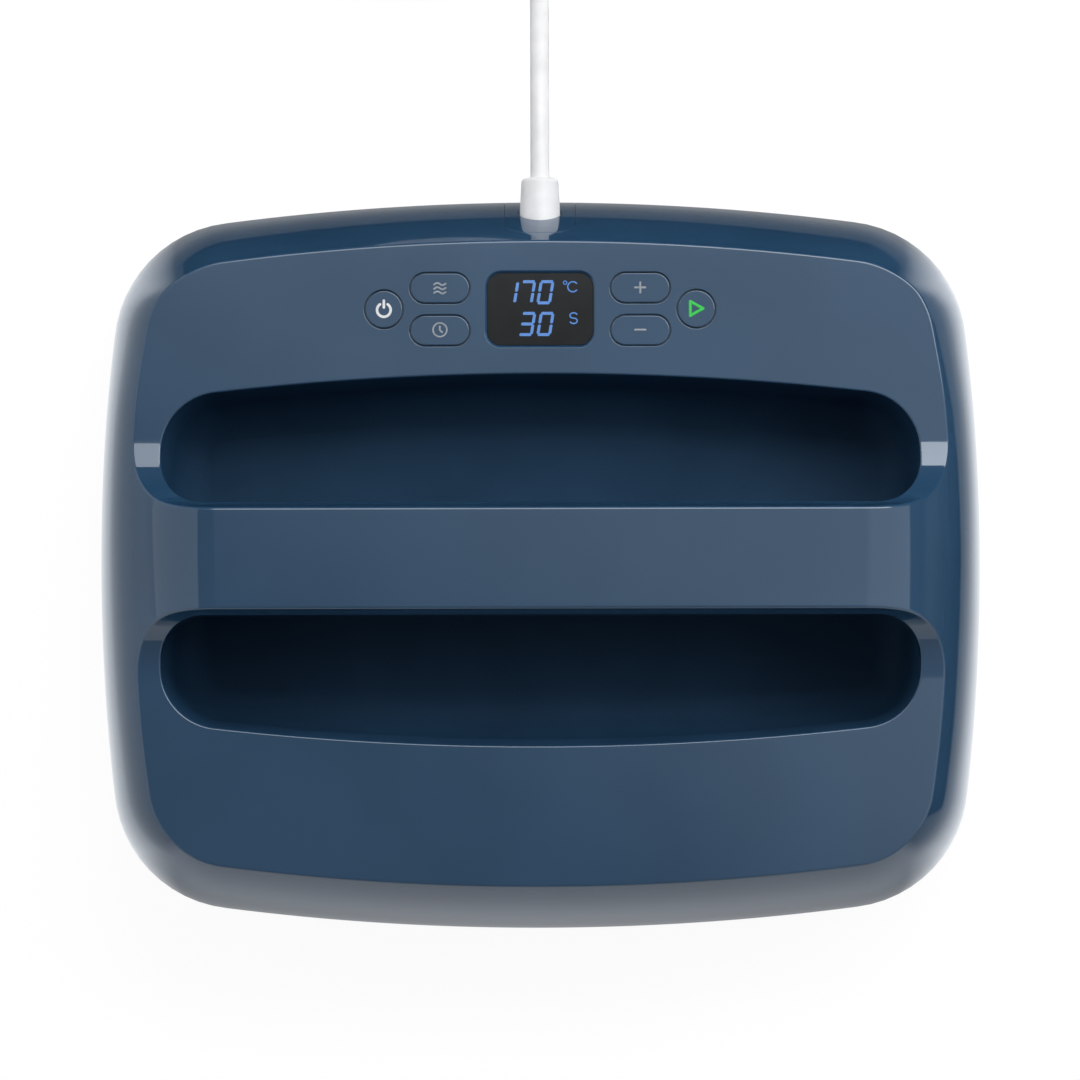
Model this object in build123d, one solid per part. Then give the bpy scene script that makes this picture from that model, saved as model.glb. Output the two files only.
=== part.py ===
from build123d import *
import math
import os

# Whole body: X to the right, Y to the rear where the lead leaves, Z up from the face of the heat plate.
BODY_WIDTH = 330.0
BODY_DEPTH = 273.0
SIDE_BOW_RADIUS = 752.0
END_BOW_RADIUS = 922.0
CORNER_RADIUS = 47.5
PANEL_HEIGHT = 83.0
HANDLE_RISE = 22.0
SEAM_HEIGHT = 24.0
SEAM_GAP = 0.6
SHOULDER_RADIUS = 30.0
SHOULDER_INSET = 48.0
SHELL_WALL = 2.6
OVERRUN = 5.0

# Handle and the two hand openings.
HANDLE_WIDTH = 37.0
RAMP_RADIUS = 26.0
ARCH_LAP = 6.0
OPENING_END_INSET = 26.0
OPENING_SETBACK = 68.4
OPENING_BOW_RADIUS = 1060.0
OPENING_STEP = 2.0
OUTER_CORNER_SHARE = 0.57
INNER_CORNER_SHARE = 0.42
LIP_WALL = 2.2
LIP_DEPTH = 5.0
EDGE_RADIUS = 1.2
OPENING_EDGE_RADIUS = 0.7
SHARP_ANGLE = 15.0
HALF_WAY_SHARE = 0.5

# Grip basin, the liner of both openings and of the tunnel under the handle.
BASIN_FLOOR = 40.0
BASIN_WALL = 2.4
BASIN_SEAM = 0.3
BASIN_DRAFT_ANGLE = 6.0
BASIN_BOTTOM_SHARE = 0.73
FLANGE_WIDTH = 6.5
FLANGE_THICKNESS = 2.5
FLANGE_DROP = 8.5
BASIN_SCREW_SHARES = (-0.72, -0.26, 0.26, 0.72)

# Handle undercover.
UNDERCOVER_DEPTH = 7.0
UNDERCOVER_WALL = 2.4
UNDERCOVER_ROUND_SHARE = 0.88
UNDERCOVER_END_GAP = 1.2
UNDERCOVER_TIP_SHARE = 0.18
HANDLE_SCREW_SHARES = (-0.7, -0.24, 0.24, 0.7)

# Lower housing, the ring between the top shell and the heat plate.
HOUSING_BOTTOM = 6.0
HOUSING_TUCK = 5.0
HOUSING_FLANGE = 3.0
TONGUE_WALL = 1.6
TONGUE_HEIGHT = 3.0
TONGUE_CLEARANCE = 0.25
HOUSING_SCREW_INSET = 9.0
HOUSING_BOSS_RADIUS = 3.4
HOUSING_BOSS_TOP = 27.0
HOUSING_SCREW_SHARES = (0.2, 0.8)
RIB_WALL = 1.6
LUG_WIDTH = 16.0
LUG_DEPTH = 4.0
LUG_INSET = 21.0
LUG_PLACE_SHARE = 0.5

# Heat plate, its element, the blanket and the heat shield above.
PLATE_INSET = 13.0
PLATE_GAP = 1.0
PLATE_THICKNESS = 9.0
PLATE_EDGE_RADIUS = 2.0
ELEMENT_RADIUS = 4.0
ELEMENT_CLEARANCE = 0.1
ELEMENT_BED_WIDTH = 14.0
ELEMENT_BED_HEIGHT = 4.0
ELEMENT_BEND = 18.0
ELEMENT_RISE_BEND = 10.0
ELEMENT_SIDE_INSET = 50.0
ELEMENT_END_INSET = 44.5
ELEMENT_PITCH_X = 45.0
ELEMENT_PITCH_Y = 46.0
TERMINAL_X = 18.0
TERMINAL_TOP = 29.0
BLANKET_INSET = 18.0
BLANKET_GAP = 0.3
BLANKET_THICKNESS = 4.0
SHIELD_INSET = 15.0
SHIELD_GAP = 0.2
SHIELD_THICKNESS = 0.8
SHIELD_SCREW_INSET = 17.8
PASS_RADIUS = 9.0
STANDOFF_RADIUS = 5.0
STANDOFF_BORE = 1.9
PLATE_SCREW_REACH = 5.0
SENSOR_RADIUS = 4.0
SENSOR_HEIGHT = 6.0
SENSOR_PLACE_SHARE = 0.43
THERMAL_FUSE_RADIUS = 3.0
THERMAL_FUSE_LENGTH = 16.0
POCKET_MARGIN = 1.5

# Screws: shank radius, head radius, head height, length.
SMALL_SCREW = (1.3, 2.3, 1.8, 6.5)
LONG_SCREW = (1.3, 2.2, 2.0, 26.0)
HANDLE_SCREW_HEAD = (1.5, 2.8, 2.2)
HANDLE_SCREW_LENGTH_SHARE = 0.48
PLATE_SCREW = (1.7, 3.2, 2.2, 17.0)
SHIELD_SCREW = (1.3, 2.4, 1.6, 3.4)
FIT = 0.05
HEAD_CLEARANCE = 0.25
HEAD_SLOT_SHARE = 0.25
HEAD_SLOT_DEPTH_SHARE = 0.45
BOSS_WALL = 1.7
PILOT_SPARE = 0.8

# Rear panel: buttons, display and the boards below.
CONTROLS_SETBACK = 44.6
ROUND_BUTTON_RADIUS = 6.85
ROUND_BUTTON_X = 57.3
PILL_LENGTH = 21.6
PILL_WIDTH = 10.9
PILL_X = 36.75
PILL_PITCH = 15.6
CAP_GAP = 0.4
CAP_EDGE = 0.4
CAP_FLANGE = 1.2
CAP_FLANGE_THICKNESS = 1.6
CAP_FLANGE_CLEARANCE = 0.1
STEM_RADIUS = 2.0
BUTTON_TRAVEL = 0.6
DISPLAY_WIDTH = 38.8
DISPLAY_DEPTH = 26.6
DISPLAY_CORNER = 5.1
DISPLAY_BEVEL = 0.9
LENS_RECESS = 0.6
LENS_GAP = 0.15
LENS_FLANGE = 1.5
LENS_FLANGE_THICKNESS = 1.8
CONTROL_BOARD_DROP = 12.0
BOARD_THICKNESS = 1.6
CONTROL_BOARD_WIDTH = 150.0
CONTROL_BOARD_DEPTH = 30.0
CONTROL_BOSS_INSET = 4.0
POWER_BOARD_DROP = 29.0
POWER_BOARD_WIDTH = 176.0
POWER_BOARD_DEPTH = 27.0
POWER_BOSS_INSET = 4.0
BOARD_BOSS_RADIUS = 3.0
TACT_SIZE = 6.0
TACT_HEIGHT = 3.4
PLUNGER_RADIUS = 1.7
PLUNGER_STAND = 1.6
PLUNGER_SUNK = 1.4
TACT_BORE_DEPTH = 2.5
MODULE_SIZE = (34.0, 23.0)
MODULE_LENS_GAP = 0.4
LIGHT_RADIUS = 1.2
LIGHT_HEIGHT = 2.0
LIGHT_OFFSET = 5.0

# Parts on the boards: width, depth, height, then the place from the board's middle.
RELAY = (19.0, 15.5, 13.0)
RELAY_AT = (-52.0, 2.0)
TRANSFORMER = (22.0, 18.0, 12.0)
TRANSFORMER_AT = (-27.0, -2.0)
CAPACITOR_RADIUS = 5.0
CAPACITOR_LENGTH = 18.0
CAPACITOR_AT = (30.0, -6.0)
FUSE_RADIUS = 2.6
FUSE_LENGTH = 20.0
FUSE_CLIP = (4.0, 7.0)
FUSE_AT = (30.0, 9.0)
SINK = (18.0, 2.0, 12.0)
SINK_AT = (68.0, 9.0)
TRIAC = (10.0, 4.5, 9.0)
TERMINAL_BLOCK = (20.0, 11.0, 10.0)
TERMINAL_BLOCK_AT = (0.0, -2.0)
BUZZER_RADIUS = 6.0
BUZZER_HEIGHT = 5.0
BUZZER_AT = (47.0, -2.0)
RIBBON = (14.0, 1.2)
RIBBON_AT = (-60.0, -10.0)
LEAD_RADIUS = 1.0
LEAD_PITCH = 2.2
ELEMENT_LEAD_RADIUS = 1.6

# Lead: exit cover, gland, inner cord, clamp, the free cord, its coil and the plug.
CORD_RADIUS = 3.5
CORD_EXIT_DROP = 25.0
COVER_WIDTH = 26.5
COVER_DROP = 6.0
COVER_CORNER = 8.0
COVER_GAP = 0.2
COVER_TAB = 3.0
COVER_TAB_WALL = 2.0
GLAND_BASE_RADIUS = 7.9
GLAND_END_RADIUS = 6.8
GLAND_END_ROUND = 1.5
GLAND_OUT = 11.2
GLAND_FLANGE_RADIUS = 10.0
GLAND_FLANGE_LENGTH = 3.0
GLAND_FLANGE_GAP = 0.4
GLAND_TAIL_RADIUS = 6.0
GLAND_TAIL_LENGTH = 4.0
GLAND_CLEARANCE = 0.15
INNER_CORD_LENGTH = 13.0
CLAMP_SIZE = (28.0, 6.5, 9.5)
CLAMP_SCREW_X = 10.0
CLAMP_GAP = 0.6
CLAMP_CLEARANCE = 0.1
ROUTE_REACH = (24.0, 53.0, 82.0, 106.0, 124.0)
ROUTE_DROP_SHARES = (0.0, 0.37, 0.81, 1.0, 1.0)
RUN_SHARE = 0.45
COIL_PITCH = 7.6
COIL_LAYERS = 4
COIL_LAYER_QUARTERS = (5, 5, 5, 4)
COIL_OUTER_RADIUS = 45.0
TAIL_RUN = 15.0
PLUG_AXIS_HEIGHT = 13.0
PLUG_DISC_RADIUS = 18.5
PLUG_DISC_LENGTH = 9.0
PLUG_GRIP_LENGTH = 28.0
PLUG_GRIP_RADIUS = 12.0
PLUG_NECK_RADIUS = 6.5
PLUG_NECK_LENGTH = 14.0
PLUG_NECK_END_RADIUS = 5.0
PLUG_EDGE = 1.5
PIN_RADIUS = 2.4
PIN_LENGTH = 19.0
PIN_SPACING = 19.0
PIN_SUNK = 5.0
PIN_ROOT_SHARE = 0.75
EARTH_CLIP = (7.0, 6.0, 0.8)
TIE_WIDTH = 12.0
TIE_WALL = 0.9
TIE_GAP = 0.35
TIE_ROUND = 2.5

# Heights and places that follow from the sizes above.
handle_top = PANEL_HEIGHT + HANDLE_RISE
cord_exit_height = PANEL_HEIGHT - CORD_EXIT_DROP
cover_top = PANEL_HEIGHT - COVER_DROP
shell_bottom = SEAM_HEIGHT + SEAM_GAP / 2
panel_under = PANEL_HEIGHT - SHELL_WALL
handle_half = HANDLE_WIDTH / 2
ramp_above = max(RAMP_RADIUS - HANDLE_RISE, 0)
ramp_foot = handle_half + math.sqrt(RAMP_RADIUS**2 - ramp_above**2)
opening_edge_y = handle_half + OPENING_STEP
opening_length = BODY_WIDTH - 2 * OPENING_END_INSET
lip_bottom = PANEL_HEIGHT - LIP_DEPTH
rim_top = lip_bottom - BASIN_SEAM
wall_arc_radius = (
    SHOULDER_INSET**2 + (handle_top - SEAM_HEIGHT - SHOULDER_RADIUS) ** 2 - SHOULDER_RADIUS**2
) / (2 * (SHOULDER_INSET - SHOULDER_RADIUS))
housing_drop = SEAM_HEIGHT - HOUSING_BOTTOM
skirt_arc_radius = (housing_drop**2 + HOUSING_TUCK**2) / (2 * HOUSING_TUCK)
controls_y = BODY_DEPTH / 2 - CONTROLS_SETBACK
control_board_top = PANEL_HEIGHT - CONTROL_BOARD_DROP
control_board_under = control_board_top - BOARD_THICKNESS
power_board_top = PANEL_HEIGHT - POWER_BOARD_DROP
power_board_under = power_board_top - BOARD_THICKNESS
plunger_top = control_board_top + TACT_HEIGHT + PLUNGER_STAND
element_height = PLATE_THICKNESS + ELEMENT_RADIUS
element_outer_x = BODY_WIDTH / 2 - ELEMENT_SIDE_INSET
element_outer_y = BODY_DEPTH / 2 - ELEMENT_END_INSET
element_inner_x = element_outer_x - ELEMENT_PITCH_X
element_inner_y = element_outer_y - ELEMENT_PITCH_Y
standoff_x = (element_outer_x + element_inner_x) / 2
standoff_y = (element_outer_y + element_inner_y) / 2
sensor_x = SENSOR_PLACE_SHARE * element_inner_x
blanket_bottom = element_height + ELEMENT_RADIUS + BLANKET_GAP
shield_bottom = blanket_bottom + BLANKET_THICKNESS + SHIELD_GAP
shield_top = shield_bottom + SHIELD_THICKNESS
pills = {
    "temperature_button": (-PILL_X, controls_y + PILL_PITCH / 2),
    "timer_button": (-PILL_X, controls_y - PILL_PITCH / 2),
    "plus_button": (PILL_X, controls_y + PILL_PITCH / 2),
    "minus_button": (PILL_X, controls_y - PILL_PITCH / 2),
}
rounds = {
    "power_button": (-ROUND_BUTTON_X, controls_y),
    "start_button": (ROUND_BUTTON_X, controls_y),
}
buttons = {**rounds, **pills}


def joined(shapes):
    """All the shapes as one."""
    shapes = list(shapes)
    return shapes[0] + shapes[1:] if len(shapes) > 1 else shapes[0]


def block(size_x, size_y, low, high, x=0, y=0):
    """A box by its plan size, its two heights and the middle of its plan."""
    middle = (low + high) / 2
    return Pos(x, y, middle) * Box(size_x, size_y, high - low)


def post(radius, low, high, x=0, y=0):
    """An upright cylinder between two heights."""
    return Pos(x, y, (low + high) / 2) * Cylinder(radius, high - low)


def prism(face, low, high):
    """A plan face drawn at zero, pulled up between two heights."""
    return extrude(Pos(0, 0, low) * face, amount=high - low, dir=(0, 0, 1))


def outline_arcs():
    """The eight tangent arcs of the body's plan: centre, radius, start and end angle."""
    end_y = BODY_DEPTH / 2 - END_BOW_RADIUS
    side_x = BODY_WIDTH / 2 - SIDE_BOW_RADIUS
    to_end = END_BOW_RADIUS - CORNER_RADIUS
    to_side = SIDE_BOW_RADIUS - CORNER_RADIUS
    apart = math.hypot(side_x, end_y)
    along = (to_end**2 - to_side**2 + apart**2) / (2 * apart)
    across = math.sqrt(to_end**2 - along**2)
    ux, uy = side_x / apart, -end_y / apart
    corner_x = ux * along + uy * across
    corner_y = end_y + uy * along - ux * across
    side_turn = math.degrees(math.atan2(corner_y, corner_x - side_x))
    end_turn = math.degrees(math.atan2(corner_y - end_y, corner_x))
    return [
        ((side_x, 0), SIDE_BOW_RADIUS, -side_turn, side_turn),
        ((corner_x, corner_y), CORNER_RADIUS, side_turn, end_turn),
        ((0, end_y), END_BOW_RADIUS, end_turn, 180 - end_turn),
        ((-corner_x, corner_y), CORNER_RADIUS, 180 - end_turn, 180 - side_turn),
        ((-side_x, 0), SIDE_BOW_RADIUS, 180 - side_turn, 180 + side_turn),
        ((-corner_x, -corner_y), CORNER_RADIUS, 180 + side_turn, 180 + end_turn),
        ((0, -end_y), END_BOW_RADIUS, 180 + end_turn, 360 - end_turn),
        ((corner_x, -corner_y), CORNER_RADIUS, 360 - end_turn, 360 - side_turn),
    ]


ARCS = outline_arcs()
RIGHT, REAR, LEFT, FRONT = ARCS[0], ARCS[2], ARCS[4], ARCS[6]


def outline(inset):
    """The body's plan, drawn in by an inset."""
    return make_face([CenterArc(c, r - inset, a, b - a) for c, r, a, b in ARCS])


def slab(inset, low, high):
    """The body's plan pulled up between two heights."""
    return prism(outline(inset), low, high)


def outline_point(arc, share, inset):
    """A point on one arc of the plan, a share along it and inset from the edge."""
    (cx, cy), radius, start, end = arc
    angle = math.radians(start + (end - start) * share)
    reach = radius - inset
    return cx + reach * math.cos(angle), cy + reach * math.sin(angle), math.degrees(angle)


def revolved(profile, arcs):
    """A wall section turned round each of the arcs and joined."""
    pieces = []
    for (cx, cy), radius, start, end in arcs:
        angle = math.radians(start)
        plane = Plane(
            origin=(cx, cy, 0),
            x_dir=(math.cos(angle), math.sin(angle), 0),
            z_dir=(math.sin(angle), -math.cos(angle), 0),
        )
        axis = Axis((cx, cy, 0), (0, 0, 1))
        pieces.append(revolve(plane * profile(radius), axis=axis, revolution_arc=end - start))
    return joined(pieces)


def wall_arc(radius, offset, low, high, bulge=wall_arc_radius, centre=SEAM_HEIGHT):
    """The bulged wall's line between two heights, as seen from the middle of a plan arc."""
    reach = bulge - offset
    start = math.degrees(math.asin((low - centre) / reach))
    end = math.degrees(math.asin((high - centre) / reach))
    return CenterArc((radius - bulge, centre), reach, start, end - start)


def wall_inset(height, offset=0):
    """How far the wall stands in from the plan's edge at a height."""
    return wall_arc_radius - math.sqrt((wall_arc_radius - offset) ** 2 - (height - SEAM_HEIGHT) ** 2)


def wall_section(offset, low, high, core):
    """Section from the bulged wall in to a core inset."""

    def profile(radius):
        line = wall_arc(radius, offset, low, high)
        inner = radius - core
        rest = Polyline(line @ 1, (inner, high), (inner, low), line @ 0)
        return make_face([line] + rest.edges())

    return profile


def arch_section(offset, low, core):
    """Section of the handle's end: the bulged wall, then the shoulder up to the handle's top."""

    def profile(radius):
        rise = handle_top - SHOULDER_RADIUS - SEAM_HEIGHT
        meet = math.degrees(math.atan2(rise, wall_arc_radius - SHOULDER_INSET))
        reach = wall_arc_radius - offset
        start = math.degrees(math.asin((low - SEAM_HEIGHT) / reach))
        wall = CenterArc((radius - wall_arc_radius, SEAM_HEIGHT), reach, start, meet - start)
        turn = (radius - SHOULDER_INSET, handle_top - SHOULDER_RADIUS)
        shoulder = CenterArc(turn, SHOULDER_RADIUS - offset, meet, 90 - meet)
        inner = radius - core
        rest = Polyline(shoulder @ 1, (inner, handle_top - offset), (inner, low), wall @ 0)
        return make_face([wall, shoulder] + rest.edges())

    return profile


def panel_cutter(offset):
    """What is taken off above the two panels: flat beyond the handle, with a round ramp up to its edge."""
    foot = PANEL_HEIGHT - offset
    edge = ramp_foot - RAMP_RADIUS - offset
    turn = (ramp_foot, PANEL_HEIGHT + RAMP_RADIUS)
    top = max(handle_top, PANEL_HEIGHT + RAMP_RADIUS) + OVERRUN
    ramp = CenterArc(turn, RAMP_RADIUS + offset, 180, 90)
    far = BODY_DEPTH / 2 + OVERRUN
    rest = Polyline(ramp @ 1, (far, foot), (far, top), (edge, top), ramp @ 0)
    face = Plane.YZ * make_face([ramp] + rest.edges())
    rear = extrude(face, amount=BODY_WIDTH / 2 + OVERRUN, both=True)
    return rear + mirror(rear, about=Plane.XZ)


def body_form(offset, low):
    """The whole upper form down to a height: domed walls, handle and panels, all drawn in by an offset."""
    high = PANEL_HEIGHT + SHELL_WALL
    core = (wall_inset(high) + CORNER_RADIUS) / 2
    walls = revolved(wall_section(offset, low, high, core), ARCS)
    middle = slab(core - OVERRUN / 2, low, high)
    arch_half = ramp_foot + OVERRUN
    swing = math.degrees(math.asin(arch_half / (SIDE_BOW_RADIUS - SHOULDER_INSET)))
    ends = [(c, r, (a + b) / 2 - swing, (a + b) / 2 + swing) for c, r, a, b in (RIGHT, LEFT)]
    arch = revolved(arch_section(offset, low, SHOULDER_INSET + ARCH_LAP), ends)
    span = BODY_WIDTH - 2 * SHOULDER_INSET - ARCH_LAP
    bar = block(span, 2 * arch_half, low, handle_top - offset)
    return walls + middle + arch + bar - panel_cutter(offset)


opening_centre_y = BODY_DEPTH / 2 - OPENING_SETBACK - OPENING_BOW_RADIUS


def far_arc(offset):
    """The bowed far edge of an opening, and where it meets the opening's end."""
    radius = OPENING_BOW_RADIUS + offset
    half = opening_length / 2 + offset
    angle = math.degrees(math.acos(half / radius))
    arc = CenterArc((0, opening_centre_y), radius, angle, 180 - 2 * angle)
    return arc, half, opening_centre_y + radius * math.sin(math.radians(angle))


opening_end_height = far_arc(0)[2] - opening_edge_y
inner_corner = INNER_CORNER_SHARE * opening_end_height
outer_corner = OUTER_CORNER_SHARE * opening_end_height
basin_slope = math.tan(math.radians(BASIN_DRAFT_ANGLE))
basin_floor_corner = outer_corner + BASIN_SEAM - basin_slope * (rim_top - BASIN_FLOOR)
basin_bottom_radius = BASIN_BOTTOM_SHARE * basin_floor_corner
tip_turn = math.acos(1 - UNDERCOVER_TIP_SHARE)
undercover_tip = inner_corner * (1 - math.sin(tip_turn)) - UNDERCOVER_END_GAP
undercover_round = UNDERCOVER_ROUND_SHARE * min(undercover_tip, UNDERCOVER_DEPTH)


def opening(offset):
    """Plan of the rear hand opening, grown by an offset."""
    arc, half, _ = far_arc(offset)
    near = opening_edge_y - offset
    rest = Polyline(arc @ 1, (-half, near), (half, near), arc @ 0)
    face = Sketch() + make_face([arc] + rest.edges())
    corners = face.vertices().sort_by(Axis.Y)
    face = fillet(corners[:2], radius=inner_corner + offset)
    corners = face.vertices().sort_by(Axis.Y)
    far = [v for v in corners if v.Y > near + outer_corner]
    far = sorted(far, key=lambda v: -abs(v.X))[:2]
    return fillet(far, radius=outer_corner + offset)


def openings(offset):
    """Plans of both hand openings."""
    rear = opening(offset)
    return rear + mirror(rear, about=Plane.XZ)


def basin_plan(offset):
    """Plan of both openings and the space between, grown by an offset."""
    arc, half, edge = far_arc(offset)
    front = mirror(arc, about=Plane.XZ)
    sides = [Line((half, -edge), (half, edge)), Line((-half, -edge), (-half, edge))]
    face = Sketch() + make_face([arc, front.edge()] + sides)
    return fillet(face.vertices(), radius=outer_corner + offset)


def screw(spec, x, y, seat, up=True):
    """A cross-slotted screw whose head bears on a seat height."""
    shank, head, tall, length = spec
    sign = 1 if up else -1
    body = post(shank, min(seat, seat + sign * length), max(seat, seat + sign * length), x, y)
    head_far = seat - sign * tall
    body += post(head, min(seat, head_far), max(seat, head_far), x, y)
    deep = head_far + sign * tall * HEAD_SLOT_DEPTH_SHARE
    wide = 2 * head * HEAD_SLOT_SHARE
    long = 2 * head * (1 - HEAD_SLOT_SHARE)
    low, high = min(head_far, deep), max(head_far, deep)
    return body - block(long, wide, low, high, x, y) - block(wide, long, low, high, x, y)


def grid(xs, ys):
    """Places over a small grid."""
    return [(x, y) for x in xs for y in ys]


def board_places(width, depth, inset, middle_y):
    """The four screw places of a board."""
    x = width / 2 - inset
    y = depth / 2 - inset
    return [(px, middle_y + py) for px, py in grid((-x, x), (-y, y))]


basin_screw_radius = OPENING_BOW_RADIUS + BASIN_SEAM + BASIN_WALL + FLANGE_WIDTH / 2
basin_places = []
for share in BASIN_SCREW_SHARES:
    place_x = share * opening_length / 2
    place_y = opening_centre_y + math.sqrt(basin_screw_radius**2 - place_x**2)
    basin_places += [(place_x, place_y), (place_x, -place_y)]
handle_places = [(share * opening_length / 2, 0) for share in HANDLE_SCREW_SHARES]
control_places = board_places(CONTROL_BOARD_WIDTH, CONTROL_BOARD_DEPTH, CONTROL_BOSS_INSET, controls_y)
power_places = board_places(POWER_BOARD_WIDTH, POWER_BOARD_DEPTH, POWER_BOSS_INSET, controls_y)
housing_places = [
    outline_point(arc, share, HOUSING_SCREW_INSET)
    for arc in (RIGHT, REAR, LEFT, FRONT)
    for share in HOUSING_SCREW_SHARES
]
lug_places = [(arc, LUG_PLACE_SHARE) for arc in ARCS if arc is not REAR and arc is not FRONT]
standoff_places = grid((-standoff_x, 0, standoff_x), (-standoff_y, standoff_y))
flange_top = PANEL_HEIGHT - FLANGE_DROP
flange_bottom = flange_top - FLANGE_THICKNESS
undercover_bottom = rim_top - UNDERCOVER_DEPTH
undercover_seat = undercover_bottom + HANDLE_SCREW_HEAD[2] + HEAD_CLEARANCE
handle_screw_length = HANDLE_SCREW_LENGTH_SHARE * (handle_top - SHELL_WALL - undercover_seat)
HANDLE_SCREW = (*HANDLE_SCREW_HEAD, handle_screw_length)
rear_wall_y = BODY_DEPTH / 2 - wall_inset(cord_exit_height)
gland_end_y = rear_wall_y + GLAND_OUT
flange_height = cord_exit_height + GLAND_FLANGE_RADIUS
gland_flange_y = (
    BODY_DEPTH / 2 - wall_inset(flange_height) - SHELL_WALL - COVER_TAB_WALL - GLAND_FLANGE_GAP
)
gland_tail_y = gland_flange_y - GLAND_FLANGE_LENGTH - GLAND_TAIL_LENGTH
clamp_y = gland_tail_y - CLAMP_GAP - CLAMP_SIZE[1] / 2
clamp_top = cord_exit_height + CLAMP_SIZE[2] / 2
inner_cord_y = gland_tail_y - INNER_CORD_LENGTH


def button_face(name, grow):
    """Plan of a button's cap, grown by an amount."""
    if name in pills:
        return SlotOverall(PILL_LENGTH + 2 * grow, PILL_WIDTH + 2 * grow)
    return Circle(ROUND_BUTTON_RADIUS + grow)


def display_face(grow):
    """Plan of the display window, grown by an amount."""
    return RectangleRounded(DISPLAY_WIDTH + 2 * grow, DISPLAY_DEPTH + 2 * grow, DISPLAY_CORNER + grow)


def cover_prism(grow, low):
    """The cord exit cover's place in the rear wall, grown by an amount."""
    width = COVER_WIDTH + 2 * grow
    top = cover_top + grow
    face = Rectangle(width, top - low)
    upper = face.vertices().group_by(Axis.Y)[-1]
    face = fillet(upper, radius=COVER_CORNER + grow)
    face = Plane.XZ * Pos(0, (top + low) / 2) * face
    start = Pos(0, BODY_DEPTH / 2 + OVERRUN, 0) * face
    return extrude(start, amount=CORNER_RADIUS, dir=(0, -1, 0))


def rear_layer(outside, inside, low, high):
    """A layer of the rear wall between two offsets."""

    def profile(radius):
        outer = wall_arc(radius, outside, low, high)
        inner = wall_arc(radius, inside, low, high)
        return make_face([outer, Line(outer @ 1, inner @ 1), inner, Line(inner @ 0, outer @ 0)])

    return revolved(profile, [REAR])


def boss_set(places, spec, seat, top, radius=None):
    """Posts down from a ceiling to a seat, and the pilot holes in them for one kind of screw."""
    shank, _, _, length = spec
    wide = radius or shank + FIT + BOSS_WALL
    posts = [post(wide, seat, top, x, y) for x, y in places]
    holes = [post(shank + FIT, seat, min(seat + length + PILOT_SPARE, top), x, y) for x, y in places]
    return posts, holes


def make_top_shell():
    """The one moulding of side walls, handle and panels, with lips, holes, posts and ribs."""
    outside = soften(body_form(0, shell_bottom), EDGE_RADIUS)
    outside -= prism(openings(0), lip_bottom - OVERRUN, handle_top + OVERRUN)
    outside = soften(outside, OPENING_EDGE_RADIUS)
    panel_mid = (PANEL_HEIGHT + panel_under) / 2
    handle_mid = handle_top - SHELL_WALL / 2
    clamp_places = [(-CLAMP_SCREW_X, clamp_y), (CLAMP_SCREW_X, clamp_y)]
    sets = [
        boss_set(basin_places, SMALL_SCREW, flange_top, panel_mid),
        boss_set(handle_places, HANDLE_SCREW, rim_top, handle_mid),
        boss_set(control_places, SMALL_SCREW, control_board_top, panel_mid, BOARD_BOSS_RADIUS),
        boss_set(power_places, SMALL_SCREW, power_board_top, panel_mid, BOARD_BOSS_RADIUS),
        boss_set(clamp_places, SMALL_SCREW, clamp_top, panel_mid),
    ]
    cavity = body_form(SHELL_WALL, shell_bottom - OVERRUN)
    cavity -= prism(openings(LIP_WALL) - openings(0), lip_bottom, handle_top)
    cavity -= [p for posts, _ in sets for p in posts]
    rib_low = HOUSING_BOSS_TOP + OVERRUN
    rib = block(HOUSING_SCREW_INSET, RIB_WALL, rib_low, panel_under, HOUSING_SCREW_INSET / 2)
    for x, y, turn in housing_places:
        cavity -= post(HOUSING_BOSS_RADIUS, HOUSING_BOSS_TOP, panel_under, x, y)
        cavity -= Pos(x, y) * Rot(0, 0, turn) * rib
    shell = outside - cavity
    shell -= [h for _, holes in sets for h in holes]
    pilot_top = HOUSING_BOTTOM + LONG_SCREW[2] + HEAD_CLEARANCE + LONG_SCREW[3] + PILOT_SPARE
    shell -= [post(LONG_SCREW[0] + FIT, HOUSING_BOSS_TOP, pilot_top, x, y) for x, y, _ in housing_places]
    high = PANEL_HEIGHT + OVERRUN
    for name, (x, y) in buttons.items():
        shell -= prism(Pos(x, y) * button_face(name, CAP_GAP), panel_under - OVERRUN, high)
    window = Pos(0, controls_y) * display_face(0)
    shell -= prism(window, panel_under - OVERRUN, high)
    wide = Pos(0, controls_y, PANEL_HEIGHT) * display_face(DISPLAY_BEVEL)
    shell -= loft([wide, Pos(0, controls_y, PANEL_HEIGHT - DISPLAY_BEVEL) * display_face(0)], ruled=True)
    return shell - cover_prism(0, shell_bottom - OVERRUN)


def soften(shape, radius):
    """Round the sharp edges on top of the shell, from the panels' height up."""
    beside = {}
    for face in shape.faces():
        for edge in face.edges():
            beside.setdefault(hash(edge), (edge, []))[1].append(face)
    sharp = []
    for edge, faces in beside.values():
        middle = edge.position_at(HALF_WAY_SHARE)
        if len(faces) == 2 and middle.Z > PANEL_HEIGHT - FIT:
            first, second = (face.normal_at(middle) for face in faces)
            if first.get_angle(second) > SHARP_ANGLE:
                sharp.append(edge)
    return fillet(sharp, radius=radius)


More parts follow.
